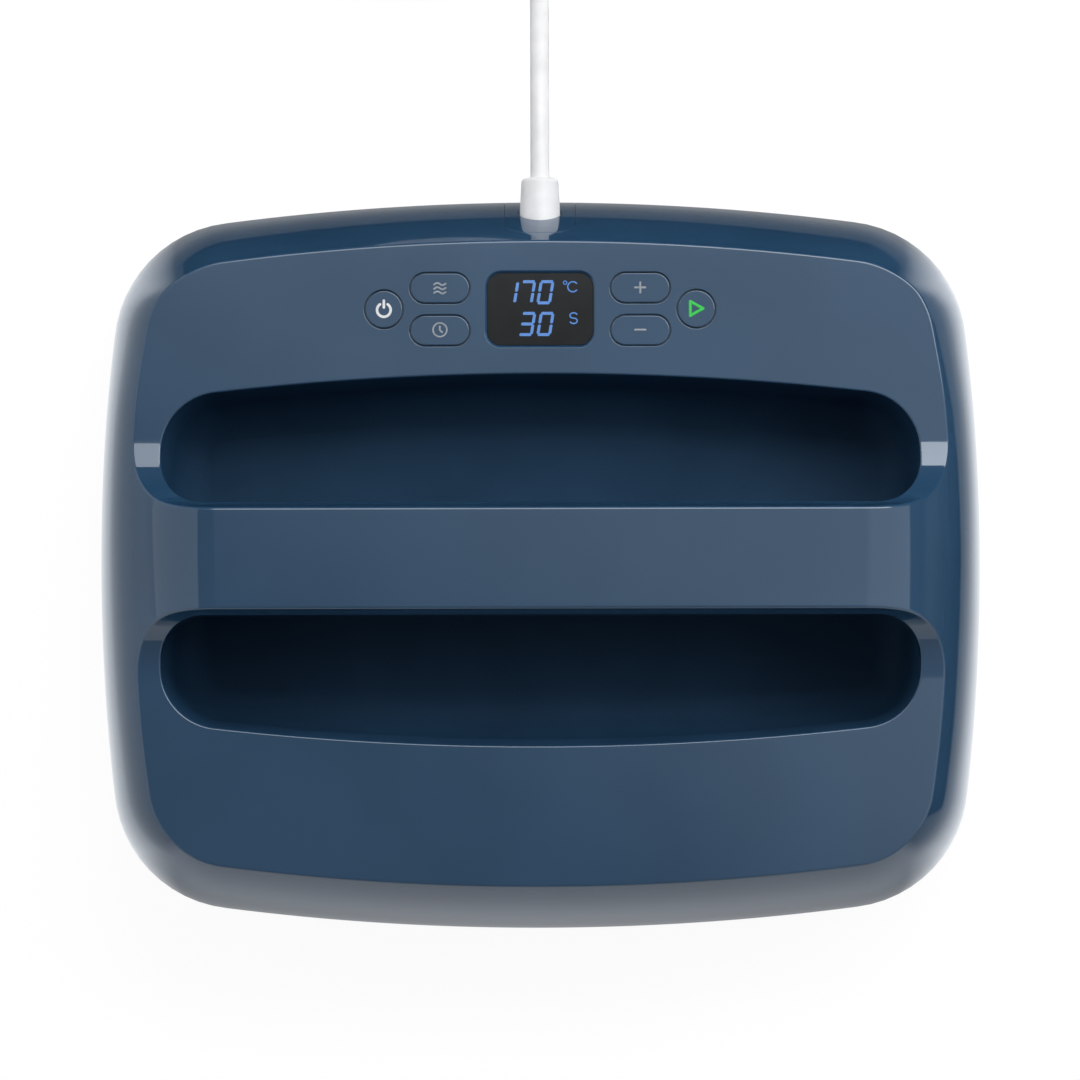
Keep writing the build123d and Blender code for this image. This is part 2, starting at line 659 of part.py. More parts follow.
def make_grip_basin():
    """Liner of the hand openings and the tunnel, with a flange screwed up under the panels."""

    def tub(offset, floor, rounding):
        lean = basin_slope * (rim_top - floor)
        top = Pos(0, 0, rim_top) * basin_plan(offset)
        bottom = Pos(0, 0, floor) * basin_plan(offset - lean)
        solid = loft([bottom, top], ruled=True)
        return fillet(solid.edges().group_by(Axis.Z)[0], radius=rounding)

    outside = tub(BASIN_SEAM + BASIN_WALL, BASIN_FLOOR - BASIN_WALL, basin_bottom_radius + BASIN_WALL)
    inside = tub(BASIN_SEAM, BASIN_FLOOR, basin_bottom_radius)
    flange_plan = basin_plan(BASIN_SEAM + BASIN_WALL + FLANGE_WIDTH) - basin_plan(BASIN_SEAM + BASIN_WALL / 2)
    basin = outside - inside + prism(flange_plan, flange_bottom, flange_top)
    hole = SMALL_SCREW[0] + FIT
    return basin - [post(hole, flange_bottom - FIT, flange_top + FIT, x, y) for x, y in basin_places]


def make_undercover():
    """The cover that closes the handle from below."""
    tip = opening_edge_y + inner_corner * UNDERCOVER_TIP_SHARE

    def plan(offset):
        face = basin_plan(-UNDERCOVER_END_GAP - offset) - openings(offset)
        return face & Rectangle(opening_length, 2 * (tip - offset))

    cover = prism(plan(0), undercover_bottom, rim_top)
    low = cover.edges().group_by(Axis.Z)[0]
    side = opening_length / 2 - UNDERCOVER_END_GAP - OVERRUN
    along = [e for e in low if abs(e.center().Y) < tip - FIT and abs(e.center().X) < side]
    cover = fillet(along, radius=undercover_round)
    floor = undercover_bottom + UNDERCOVER_WALL
    pocket = prism(plan(UNDERCOVER_WALL + undercover_round / 2), floor, rim_top + OVERRUN)
    post_radius = HANDLE_SCREW[1] + HEAD_CLEARANCE + BOSS_WALL
    cover -= pocket
    cover += [post(post_radius, undercover_bottom, rim_top, x, y) for x, y in handle_places]
    shank, head = HANDLE_SCREW[0] + FIT, HANDLE_SCREW[1] + HEAD_CLEARANCE
    cover -= [post(shank, undercover_bottom, rim_top + FIT, x, y) for x, y in handle_places]
    return cover - [post(head, undercover_bottom - FIT, undercover_seat, x, y) for x, y in handle_places]


def make_lower_housing():
    """The ring below the seam, with its tongue, bottom flange, screw posts and shield lugs."""
    high = SEAM_HEIGHT - SEAM_GAP / 2

    def profile(radius):
        outer = wall_arc(radius, 0, HOUSING_BOTTOM, high, skirt_arc_radius)
        inner = wall_arc(radius, SHELL_WALL, HOUSING_BOTTOM, high, skirt_arc_radius)
        return make_face([outer, Line(outer @ 1, inner @ 1), inner, Line(inner @ 0, outer @ 0)])

    ring = revolved(profile, ARCS)
    flange = outline(HOUSING_TUCK + SHELL_WALL / 2) - outline(PLATE_INSET - PLATE_GAP)
    ring += prism(flange, HOUSING_BOTTOM, HOUSING_BOTTOM + HOUSING_FLANGE)
    start = SHELL_WALL + TONGUE_CLEARANCE
    tongue = outline(start) - outline(start + TONGUE_WALL)
    ring += prism(tongue, high - TONGUE_HEIGHT, SEAM_HEIGHT + TONGUE_HEIGHT)
    foot = outline(SHELL_WALL / 2) - outline(start + TONGUE_WALL)
    ring += prism(foot, high - 2 * TONGUE_HEIGHT, high)
    ring += [post(HOUSING_BOSS_RADIUS, HOUSING_BOTTOM, HOUSING_BOSS_TOP, x, y) for x, y, _ in housing_places]
    for arc, share in lug_places:
        x, y, turn = outline_point(arc, share, 0)
        long = LUG_INSET - SHELL_WALL
        at = -(LUG_INSET + SHELL_WALL) / 2
        lug = block(long, LUG_WIDTH, shield_bottom - LUG_DEPTH, shield_bottom, at)
        ring += Pos(x, y) * Rot(0, 0, turn) * lug
        sx, sy, _ = outline_point(arc, share, SHIELD_SCREW_INSET)
        ring -= post(SHIELD_SCREW[0] + FIT, shield_bottom - LUG_DEPTH, shield_bottom + FIT, sx, sy)
    head = LONG_SCREW[1] + HEAD_CLEARANCE
    seat = HOUSING_BOTTOM + LONG_SCREW[2] + HEAD_CLEARANCE
    for x, y, _ in housing_places:
        ring -= post(LONG_SCREW[0] + FIT, HOUSING_BOTTOM, HOUSING_BOSS_TOP + FIT, x, y)
        ring -= post(head, HOUSING_BOTTOM - FIT, seat, x, y)
    return ring


def element_path():
    """Route of the tubular element: two upright ends at the rear and a double loop over the plate."""
    far_x, far_y, near_x, near_y = element_outer_x, element_outer_y, element_inner_x, element_inner_y
    flat = [
        (-TERMINAL_X, far_y),
        (-far_x, far_y),
        (-far_x, -far_y),
        (far_x, -far_y),
        (far_x, far_y),
        (near_x, far_y),
        (near_x, -near_y),
        (-near_x, -near_y),
        (-near_x, near_y),
        (TERMINAL_X, near_y),
        (TERMINAL_X, far_y),
    ]
    points = [(x, y, element_height) for x, y in flat]
    ends = [(x, y, TERMINAL_TOP) for x, y in (flat[0], flat[-1])]
    bends = [ELEMENT_RISE_BEND] + [ELEMENT_BEND] * (len(flat) - 2) + [ELEMENT_RISE_BEND]
    return FilletPolyline(ends[0], *points, ends[1], radius=bends)


def tube(path, radius):
    """A round tube along a path."""
    return sweep(Plane(origin=path @ 0, z_dir=path % 0) * Circle(radius), path=path)


def make_heat_plate(path):
    """The cast plate with the element's bed, standoff seats and screw holes."""
    plate = slab(PLATE_INSET, 0, PLATE_THICKNESS)
    plate = fillet(plate.edges().group_by(Axis.Z)[0], radius=PLATE_EDGE_RADIUS)
    high = PLATE_THICKNESS + ELEMENT_BED_HEIGHT
    far_x, far_y = 2 * element_outer_x, 2 * element_outer_y
    near_x, near_y = 2 * element_inner_x, 2 * element_inner_y

    def loop(wide, deep, bend):
        half = ELEMENT_BED_WIDTH / 2
        outside = RectangleRounded(wide + 2 * half, deep + 2 * half, bend + half)
        return outside - RectangleRounded(wide - 2 * half, deep - 2 * half, bend - half)

    beds = loop(far_x, far_y, ELEMENT_BEND) + loop(near_x, near_y, ELEMENT_BEND)
    reach = (element_outer_y + element_inner_y) / 2
    for x in (TERMINAL_X, element_inner_x):
        beds += Pos(x, reach) * Rectangle(ELEMENT_BED_WIDTH, element_outer_y - element_inner_y)
    plate += prism(beds, PLATE_THICKNESS, high)
    plate -= tube(path, ELEMENT_RADIUS + ELEMENT_CLEARANCE)
    trench = 2 * (ELEMENT_RADIUS + ELEMENT_CLEARANCE)
    plate -= block(trench, trench, element_height, high + FIT, -TERMINAL_X, element_outer_y)
    depth = shield_top - PLATE_SCREW[3] - PILOT_SPARE
    return plate - [post(PLATE_SCREW[0] + FIT, depth, high, x, y) for x, y in standoff_places]


def make_blanket():
    """The mineral blanket over the element, pierced for standoffs, terminals and sensors."""
    blanket = slab(BLANKET_INSET + LUG_WIDTH / 2, blanket_bottom, blanket_bottom + BLANKET_THICKNESS)
    low, high = blanket_bottom - FIT, blanket_bottom + BLANKET_THICKNESS + FIT
    holes = [post(STANDOFF_RADIUS + POCKET_MARGIN, low, high, x, y) for x, y in standoff_places]
    holes += [post(PASS_RADIUS, low, high, x, element_outer_y) for x in (-TERMINAL_X, TERMINAL_X)]
    return blanket - holes


def make_shield():
    """The sheet-steel shield that carries the plate and rests on the housing's lugs."""
    sheet = slab(SHIELD_INSET, shield_bottom, shield_top)
    low, high = shield_bottom - FIT, shield_top + FIT
    holes = [post(PLATE_SCREW[0] + FIT, low, high, x, y) for x, y in standoff_places]
    holes += [post(PASS_RADIUS, low, high, x, element_outer_y) for x in (-TERMINAL_X, TERMINAL_X)]
    for arc, share in lug_places:
        x, y, _ = outline_point(arc, share, SHIELD_SCREW_INSET)
        holes.append(post(SHIELD_SCREW[0] + FIT, low, high, x, y))
    return sheet - holes


def make_standoffs():
    """Ceramic tubes between the plate and the shield."""
    return [
        post(STANDOFF_RADIUS, PLATE_THICKNESS, shield_bottom, x, y)
        - post(STANDOFF_BORE, PLATE_THICKNESS, shield_bottom, x, y)
        for x, y in standoff_places
    ]


def make_button(name):
    """A cap with a holding flange below the panel and a stem down to its switch."""
    x, y = buttons[name]
    flange_high = panel_under - CAP_FLANGE_CLEARANCE
    flange_low = flange_high - CAP_FLANGE_THICKNESS
    cap = prism(button_face(name, 0), flange_low, PANEL_HEIGHT)
    cap = fillet(cap.edges().group_by(Axis.Z)[-1], radius=CAP_EDGE)
    cap += prism(button_face(name, CAP_FLANGE), flange_low, flange_high)
    cap += post(STEM_RADIUS, plunger_top, flange_low)
    return Pos(x, y, 0) * cap


def make_plunger(name):
    """The moving pin of one switch."""
    x, y = buttons[name]
    low = control_board_top + TACT_HEIGHT - PLUNGER_SUNK
    return post(PLUNGER_RADIUS, low, plunger_top, x, y)


def make_switches():
    """The six switch bodies on the control board."""
    high = control_board_top + TACT_HEIGHT
    return [
        block(TACT_SIZE, TACT_SIZE, control_board_top, high, x, y)
        - post(PLUNGER_RADIUS + FIT, high - TACT_BORE_DEPTH, high + FIT, x, y)
        for x, y in buttons.values()
    ]


def make_lens():
    """The smoked window, let in below the panel and held by a flange."""
    low = panel_under - LENS_FLANGE_THICKNESS
    lens = prism(display_face(-LENS_GAP), low, PANEL_HEIGHT - LENS_RECESS)
    lens += prism(display_face(LENS_FLANGE), low, panel_under)
    return Pos(0, controls_y, 0) * lens


def make_board(width, depth, under, places):
    """A circuit board with its screw holes."""
    board = block(width, depth, under, under + BOARD_THICKNESS, 0, controls_y)
    hole = SMALL_SCREW[0] + FIT
    return board - [post(hole, under - FIT, under + BOARD_THICKNESS + FIT, x, y) for x, y in places]


def on_power_board(size, place):
    """A box-shaped part standing on the power board."""
    wide, deep, tall = size
    x, y = place
    return block(wide, deep, power_board_top, power_board_top + tall, x, controls_y + y)


def lying(radius, length, place):
    """A round part lying along X on the power board."""
    x, y = place
    return Pos(x, controls_y + y, power_board_top + radius) * Rot(0, 90, 0) * Cylinder(radius, length)


def make_fuse():
    """The glass fuse with its two clips."""
    x, y = FUSE_AT
    body = lying(FUSE_RADIUS, FUSE_LENGTH, FUSE_AT)
    reach = FUSE_LENGTH / 2 - FUSE_CLIP[0] / 2
    clip = (FUSE_CLIP[0], FUSE_CLIP[1], FUSE_RADIUS)
    return body + [on_power_board(clip, (x + side * reach, y)) for side in (-1, 1)]


def make_triac():
    """The triac, bolted flat to its heat sink."""
    x, y = SINK_AT
    return on_power_board(TRIAC, (x, y - SINK[1] / 2 - TRIAC[1] / 2))


def along_y(radius, start, end, x, z):
    """A round bar along Y between two places."""
    return Pos(x, (start + end) / 2, z) * Rot(90, 0, 0) * Cylinder(radius, abs(end - start))


def make_cover():
    """The piece of the rear wall round the gland, with a tab behind the wall all round."""
    low = shell_bottom
    high = cover_top + COVER_TAB
    cover = rear_layer(0, SHELL_WALL, low, high) & cover_prism(-COVER_GAP, low - OVERRUN)
    tab_low = SEAM_HEIGHT + 2 * TONGUE_HEIGHT
    tab = rear_layer(SHELL_WALL, SHELL_WALL + COVER_TAB_WALL, tab_low, high)
    cover += tab & cover_prism(COVER_TAB, tab_low)
    bore = along_y(
        GLAND_BASE_RADIUS + GLAND_CLEARANCE, gland_flange_y, BODY_DEPTH / 2 + OVERRUN, 0, cord_exit_height
    )
    return cover - bore


def make_gland():
    """The tapered strain relief: flange behind the wall, cone outside, tail inside."""
    flange_end = gland_flange_y - GLAND_FLANGE_LENGTH
    points = [
        (0, gland_tail_y),
        (GLAND_TAIL_RADIUS, gland_tail_y),
        (GLAND_TAIL_RADIUS, flange_end),
        (GLAND_FLANGE_RADIUS, flange_end),
        (GLAND_FLANGE_RADIUS, gland_flange_y),
        (GLAND_BASE_RADIUS, gland_flange_y),
        (GLAND_END_RADIUS, gland_end_y),
        (0, gland_end_y),
    ]
    face = make_face(Polyline(*points, close=True))
    gland = revolve(face, axis=Axis.Y)
    gland = fillet(gland.edges().group_by(Axis.Y)[-1], radius=GLAND_END_ROUND)
    return Pos(0, 0, cord_exit_height) * gland


def make_clamp():
    """The bar that holds the inner cord, screwed up to two posts."""
    wide, deep, tall = CLAMP_SIZE
    bar = block(wide, deep, clamp_top - tall, clamp_top, 0, clamp_y)
    front, rear = clamp_y - deep, clamp_y + deep
    bar -= along_y(CORD_RADIUS + CLAMP_CLEARANCE, front, rear, 0, cord_exit_height)
    hole = SMALL_SCREW[0] + FIT
    seat = clamp_top - SMALL_SCREW[2]
    for x in (-CLAMP_SCREW_X, CLAMP_SCREW_X):
        bar -= post(hole, seat - FIT, clamp_top + FIT, x, clamp_y)
        bar -= post(SMALL_SCREW[1] + HEAD_CLEARANCE, clamp_top - tall - FIT, seat, x, clamp_y)
    return bar


def bend_radii(points):
    """The bend at each inner point: a share of the shorter run over the tangent of half the turn."""
    radii = []
    for before, at, after in zip(points, points[1:], points[2:]):
        first, second = Vector(at) - Vector(before), Vector(after) - Vector(at)
        turn = math.radians(first.get_angle(second))
        radii.append(RUN_SHARE * min(first.length, second.length) / math.tan(turn / 2))
    return radii


coil_x = -COIL_OUTER_RADIUS
coil_y = gland_end_y + ROUTE_REACH[-1] + 2 * CORD_RADIUS
coil_bottom = TIE_WALL + TIE_GAP + CORD_RADIUS
coil_top = coil_bottom + (COIL_LAYERS - 1) * COIL_PITCH


def route_points():
    """The free cord's points from the gland to the coil."""
    drop = cord_exit_height - coil_top
    points = [(0, gland_end_y, cord_exit_height)]
    for reach, share in zip(ROUTE_REACH, ROUTE_DROP_SHARES):
        points.append((0, gland_end_y + reach, cord_exit_height - share * drop))
    return points


def coil_nodes():
    """Each quarter turn's point and heading: the layers spiral in, drop and spiral out again."""
    nodes = []
    radius, height, inward, quarter = COIL_OUTER_RADIUS, coil_top, -1, 0
    step = COIL_PITCH / 4
    slope = 2 * step / math.pi

    def add(radial, fall):
        angle = math.radians(90 * quarter)
        out = Vector(math.cos(angle), math.sin(angle), 0)
        forward = Vector(-math.sin(angle), math.cos(angle), 0)
        place = Vector(coil_x, coil_y, height) + out * radius
        nodes.append((place, (out * radial + forward * radius - Vector(0, 0, fall)).normalized()))

    add(0, 0)
    for layer, count in enumerate(COIL_LAYER_QUARTERS):
        for number in range(count):
            quarter += 1
            radius += inward * step
            last = layer == COIL_LAYERS - 1 and number == count - 1
            add(0 if last else inward * slope, 0)
        if layer == COIL_LAYERS - 1:
            break
        for turn in (inward, -inward):
            quarter += 1
            radius += turn * step
            height -= COIL_PITCH / 2
            reversing = turn == inward
            add(0 if reversing else -inward * slope, COIL_PITCH / math.pi if reversing else 0)
        inward = -inward
    return nodes


def biarc(start, heading, end, end_heading):
    """Two tangent arcs between two points with set headings."""
    span = end - start
    both = heading + end_heading
    lean = 2 * (1 - heading.dot(end_heading))
    pull = span.dot(both)
    reach = (-pull + math.sqrt(pull**2 + lean * span.dot(span))) / lean
    first, second = start + heading * reach, end - end_heading * reach
    middle = (first + second) * HALF_WAY_SHARE
    between = (second - first).normalized()
    return [Edge.make_tangent_arc(start, heading, middle), Edge.make_tangent_arc(middle, between, end)]


def coil_path(nodes):
    """The coil's whole line, with a straight stretch of one tube diameter at each end."""
    straight = 2 * CORD_RADIUS
    first, heading = nodes[0]
    last, leaving = nodes[-1]
    edges = [Edge.make_line(first - heading * straight, first)]
    for (a, ta), (b, tb) in zip(nodes, nodes[1:]):
        edges += biarc(a, ta, b, tb)
    edges.append(Edge.make_line(last, last + leaving * straight))
    return Wire(edges)


def tail_points(start, heading):
    """The cord from the coil up to the plug's neck."""
    rise = PLUG_AXIS_HEIGHT - coil_bottom
    climb = math.asin(rise / (2 * TAIL_RUN))
    first = start + heading * TAIL_RUN
    second = first + heading * (2 * TAIL_RUN * math.cos(climb)) + Vector(0, 0, rise)
    return [start, first, second, second + heading * TAIL_RUN]


def print_path(name, path, solid):
    """Print a tube's length and how its volume compares with section times length."""
    whole = math.pi * CORD_RADIUS**2 * path.length
    print(f"{name}: length {path.length:.1f} mm, volume over section times length {solid.volume / whole:.4f}")


def print_own_gap(path, name):
    """Print the least gap of a wound tube to itself, measured on points along it."""
    count = int(path.length / (CORD_RADIUS / 2))
    points = [path.position_at(i / count) for i in range(count + 1)]
    spacing = path.length / count
    skip = int(6 * CORD_RADIUS / spacing)
    least = min(
        (points[i] - points[j]).length
        for i in range(len(points))
        for j in range(i + skip, len(points))
    )
    print(f"{name}: least gap to itself {least - 2 * CORD_RADIUS:.2f} mm")


def make_plug(neck, heading):
    """The plug's body, pins and earth clips, lying on the floor with its axis along a heading."""
    turn = math.degrees(math.atan2(heading.Y, heading.X))
    place = Pos(neck.X, neck.Y, PLUG_AXIS_HEIGHT) * Rot(0, 0, turn)
    grip = PLUG_NECK_LENGTH + PLUG_GRIP_LENGTH
    face_x = grip + PLUG_DISC_LENGTH
    points = [
        (0, 0),
        (0, PLUG_NECK_END_RADIUS),
        (PLUG_NECK_LENGTH, PLUG_NECK_RADIUS),
        (PLUG_NECK_LENGTH, PLUG_GRIP_RADIUS),
        (grip, PLUG_GRIP_RADIUS),
        (grip, PLUG_DISC_RADIUS),
        (face_x, PLUG_DISC_RADIUS),
        (face_x, 0),
    ]
    body = revolve(make_face(Polyline(*points, close=True)), axis=Axis.X)
    rims = [e for e in body.edges().filter_by(GeomType.CIRCLE) if e.radius > PLUG_NECK_RADIUS]
    body = fillet(rims, radius=PLUG_EDGE)
    flat = 2 * PLUG_AXIS_HEIGHT
    body &= Pos(face_x / 2, 0, 0) * Box(face_x, 2 * PLUG_DISC_RADIUS, flat)
    clip_long, clip_wide, clip_wall = EARTH_CLIP
    clips = []
    for side in (-1, 1):
        at = Pos(face_x - clip_long / 2, 0, side * (PLUG_AXIS_HEIGHT - clip_wall / 2))
        clips.append(at * Box(clip_long, clip_wide, clip_wall))
    pins = []
    for side in (-1, 1):
        at = Pos(face_x, side * PIN_SPACING / 2, 0)
        free = Pos(PIN_LENGTH / 2, 0, 0) * Rot(0, 90, 0) * Cylinder(PIN_RADIUS, PIN_LENGTH)
        free = fillet(free.edges().group_by(Axis.X)[-1], radius=PIN_RADIUS / 2)
        root = Pos(-PIN_SUNK / 2, 0, 0) * Rot(0, 90, 0) * Cylinder(PIN_RADIUS * PIN_ROOT_SHARE, PIN_SUNK)
        pins.append(at * (free + root))
    body -= pins + clips
    return place * body, [place * p for p in pins], [place * c for c in clips]


def make_tie():
    """The band round all the coil's strands at its left side; its lower run lies on the floor."""
    step = COIL_PITCH / 4
    least = COIL_OUTER_RADIUS - (COIL_LAYER_QUARTERS[0] + 1) * step - CORD_RADIUS
    sag = TIE_WIDTH**2 / (8 * least)
    inner = least - sag - TIE_GAP
    outer = COIL_OUTER_RADIUS + step + CORD_RADIUS + TIE_GAP
    low, high = TIE_WALL, coil_top + CORD_RADIUS + TIE_GAP
    hole = RectangleRounded(outer - inner, high - low, TIE_ROUND)
    band = RectangleRounded(outer - inner + 2 * TIE_WALL, high - low + 2 * TIE_WALL, TIE_ROUND + TIE_WALL)
    solid = extrude(Plane.XZ * (band - hole), amount=TIE_WIDTH / 2, both=True)
    return Pos(coil_x - (inner + outer) / 2, coil_y, (low + high) / 2) * solid


def save(name, shape):
    """Write one node's STEP file; a list becomes separate solids in one node."""
    solids = shape if isinstance(shape, list) else [shape]
    solids = [s for part in solids for s in part.solids()]
    export_step(solids[0] if len(solids) == 1 else Compound(children=solids), f"parts/{name}.step")
    print(name, len(solids), f"{sum(s.volume for s in solids):.0f} mm3")


os.makedirs("parts", exist_ok=True)

save("top_shell", make_top_shell())
save("grip_basin", make_grip_basin())
save("handle_undercover", make_undercover())
save("lower_housing", make_lower_housing())
save("cord_exit_cover", make_cover())

heater_path = element_path()
save("heat_plate", make_heat_plate(heater_path))
save("heating_element", tube(heater_path, ELEMENT_RADIUS))
save("insulation_blanket", make_blanket())
save("heat_shield", make_shield())
save("ceramic_standoffs", make_standoffs())
save("plate_screws", [screw(PLATE_SCREW, x, y, shield_top, False) for x, y in standoff_places])
shield_screws = []
for lug_arc, lug_share in lug_places:
    place_x, place_y, _ = outline_point(lug_arc, lug_share, SHIELD_SCREW_INSET)
    shield_screws.append(screw(SHIELD_SCREW, place_x, place_y, shield_top, False))
save("shield_screws", shield_screws)
housing_seat = HOUSING_BOTTOM + LONG_SCREW[2] + HEAD_CLEARANCE
save("housing_screws", [screw(LONG_SCREW, x, y, housing_seat) for x, y, _ in housing_places])
save("basin_screws", [screw(SMALL_SCREW, x, y, flange_bottom) for x, y in basin_places])
save("handle_screws", [screw(HANDLE_SCREW, x, y, undercover_seat) for x, y in handle_places])
sensor_top = PLATE_THICKNESS + SENSOR_HEIGHT
save("temperature_sensor", post(SENSOR_RADIUS, PLATE_THICKNESS, sensor_top, sensor_x))
fuse_height = PLATE_THICKNESS + THERMAL_FUSE_RADIUS
thermal_fuse = Rot(90, 0, 0) * Cylinder(THERMAL_FUSE_RADIUS, THERMAL_FUSE_LENGTH)
save("thermal_fuse", Pos(-sensor_x, 0, fuse_height) * thermal_fuse)

control_board = make_board(CONTROL_BOARD_WIDTH, CONTROL_BOARD_DEPTH, control_board_under, control_places)
save("control_board", control_board)
save("control_board_screws", [screw(SMALL_SCREW, x, y, control_board_under) for x, y in control_places])
save("tact_switches", make_switches())
for button_name in buttons:
    save(button_name, make_button(button_name))
    save(button_name.replace("button", "plunger"), make_plunger(button_name))
save("display_lens", make_lens())
module_high = panel_under - LENS_FLANGE_THICKNESS - MODULE_LENS_GAP
save("display_module", block(*MODULE_SIZE, control_board_top, module_high, 0, controls_y))
light_top = control_board_top + LIGHT_HEIGHT
light_y = controls_y + LIGHT_OFFSET
lights = [post(LIGHT_RADIUS, control_board_top, light_top, x, light_y) for x, _ in rounds.values()]
save("status_lights", lights)
buzzer_x, buzzer_y = BUZZER_AT
buzzer_low = control_board_under - BUZZER_HEIGHT
save("buzzer", post(BUZZER_RADIUS, buzzer_low, control_board_under, buzzer_x, controls_y + buzzer_y))

save("power_board", make_board(POWER_BOARD_WIDTH, POWER_BOARD_DEPTH, power_board_under, power_places))
save("power_board_screws", [screw(SMALL_SCREW, x, y, power_board_under) for x, y in power_places])
save("relay", on_power_board(RELAY, RELAY_AT))
save("transformer", on_power_board(TRANSFORMER, TRANSFORMER_AT))
save("capacitor", lying(CAPACITOR_RADIUS, CAPACITOR_LENGTH, CAPACITOR_AT))
save("fuse", make_fuse())
save("heat_sink", on_power_board(SINK, SINK_AT))
save("triac", make_triac())
save("terminal_block", on_power_board(TERMINAL_BLOCK, TERMINAL_BLOCK_AT))
ribbon_x, ribbon_y = RIBBON_AT
ribbon = block(*RIBBON, power_board_top, control_board_under, ribbon_x, controls_y + ribbon_y)
save("board_ribbon", ribbon)
lead_far = controls_y + TERMINAL_BLOCK_AT[1] + TERMINAL_BLOCK[1] / 2
leads = [along_y(LEAD_RADIUS, lead_far, inner_cord_y, i * LEAD_PITCH, cord_exit_height) for i in (-1, 0, 1)]
save("mains_leads", leads)
save("element_leads", [
    post(ELEMENT_LEAD_RADIUS, TERMINAL_TOP, power_board_under, x, element_outer_y)
    for x in (-TERMINAL_X, TERMINAL_X)
])

save("cord_gland", make_gland())
save("inner_cord", along_y(CORD_RADIUS, inner_cord_y, gland_tail_y, 0, cord_exit_height))
save("cord_clamp", make_clamp())
clamp_seat = clamp_top - SMALL_SCREW[2]
save("clamp_screws", [screw(SMALL_SCREW, x, clamp_y, clamp_seat) for x in (-CLAMP_SCREW_X, CLAMP_SCREW_X)])

cord_points = route_points()
cord_radii = bend_radii(cord_points)
print("free cord bends", [round(r, 1) for r in cord_radii])
cord_path = FilletPolyline(*cord_points, radius=cord_radii)
cord = tube(cord_path, CORD_RADIUS)
print_path("free cord", cord_path, cord)
save("mains_cord", cord)
turns = coil_nodes()
wound_path = coil_path(turns)
coil = tube(wound_path, CORD_RADIUS)
print_path("coil", wound_path, coil)
print_own_gap(wound_path, "coil")
save("cord_coil", coil)
last_place, last_heading = turns[-1]
tail = tail_points(last_place + last_heading * (2 * CORD_RADIUS), last_heading)
tail_radii = bend_radii(tail)
print("tail bends", [round(r, 1) for r in tail_radii])
tail_path = FilletPolyline(*tail, radius=tail_radii)
tail_tube = tube(tail_path, CORD_RADIUS)
print_path("tail", tail_path, tail_tube)
save("cord_tail", tail_tube)
print(f"whole cord {cord_path.length + wound_path.length + tail_path.length:.0f} mm outside the body")
plug_body, plug_pins, plug_clips = make_plug(tail[-1], last_heading)
save("plug_body", plug_body)
save("plug_pins", plug_pins)
save("plug_earth_clips", plug_clips)
save("cord_tie", make_tie())
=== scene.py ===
# %% [markdown]
# The imported CAD model is loaded first and stays as it is: every piece below is set in its frame, in
# metres, with X to the right, Y to the rear where the lead leaves, and Z up from the floor.

# %% Load the frame
import math

import bmesh
import bpy
import numpy as np
from mathutils import Matrix, Vector
from mathutils.geometry import delaunay_2d_cdt


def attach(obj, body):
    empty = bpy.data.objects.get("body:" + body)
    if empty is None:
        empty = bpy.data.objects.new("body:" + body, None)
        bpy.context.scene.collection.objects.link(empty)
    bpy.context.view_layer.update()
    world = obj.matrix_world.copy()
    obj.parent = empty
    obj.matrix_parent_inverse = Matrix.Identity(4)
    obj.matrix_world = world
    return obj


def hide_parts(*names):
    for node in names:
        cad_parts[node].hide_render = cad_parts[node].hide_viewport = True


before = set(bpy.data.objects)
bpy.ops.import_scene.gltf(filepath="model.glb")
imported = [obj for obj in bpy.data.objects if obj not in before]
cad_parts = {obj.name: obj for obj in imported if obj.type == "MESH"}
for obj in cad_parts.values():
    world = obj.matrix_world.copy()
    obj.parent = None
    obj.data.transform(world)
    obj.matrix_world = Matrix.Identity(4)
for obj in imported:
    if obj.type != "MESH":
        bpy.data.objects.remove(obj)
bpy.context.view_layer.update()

MM = 0.001

# %% [markdown]
# The photograph looks almost straight down through a long lens, a hair from the front, with the lead at
# the top. The camera could be set by eye in the viewport. Here its distance, tilt and focal length are
# written down, because they were worked out from the outline: at this distance both the plate's border
# and the handle's edges fall on their pixels.

# %% Camera
AIM = Vector((-0.0002, 0.0093, 0.024))
CAMERA_DISTANCE = 2.079
CAMERA_TILT = math.radians(2.1)
CAMERA_ROLL = math.radians(-0.11)
CAMERA_LENS = 183.9


def new_object(name, data):
    """A new object in the scene that holds this data."""
    made = bpy.data.objects.new(name, data)
    bpy.context.scene.collection.objects.link(made)
    return made


camera_data = bpy.data.cameras.new("overhead_camera")
camera_data.lens = CAMERA_LENS
camera_data.sensor_width = 36.0
camera_data.clip_start = 0.05
camera = new_object("overhead_camera", camera_data)
away = Vector((0.0, -math.sin(CAMERA_TILT), math.cos(CAMERA_TILT)))
camera.location = AIM + away * CAMERA_DISTANCE
stand = Matrix.Rotation(CAMERA_TILT, 3, "X") @ Matrix.Rotation(CAMERA_ROLL, 3, "Z")
camera.rotation_euler = stand.to_euler()
bpy.context.scene.camera = camera
bpy.context.scene.view_settings.view_transform = "Standard"
print("camera at", tuple(round(v, 3) for v in camera.location))

# %% [markdown]
# Every finish below is a small node tree. A few helpers keep them short: one turns the sRGB hex colour
# that a painter would read off into the linear values that the shader wants, one adds any node with its
# settings and links, and others start a material, set the stops of a colour ramp and turn a real size
# into a texture's scale.

# %% Material helpers
def linear(hex_colour):
    """An sRGB hex colour as linear red, green, blue and alpha."""
    values = []
    for start in (1, 3, 5):
        share = int(hex_colour[start:start + 2], 16) / 255
        values.append(share / 12.92 if share <= 0.04045 else ((share + 0.055) / 1.055) ** 2.4)
    return (*values, 1.0)


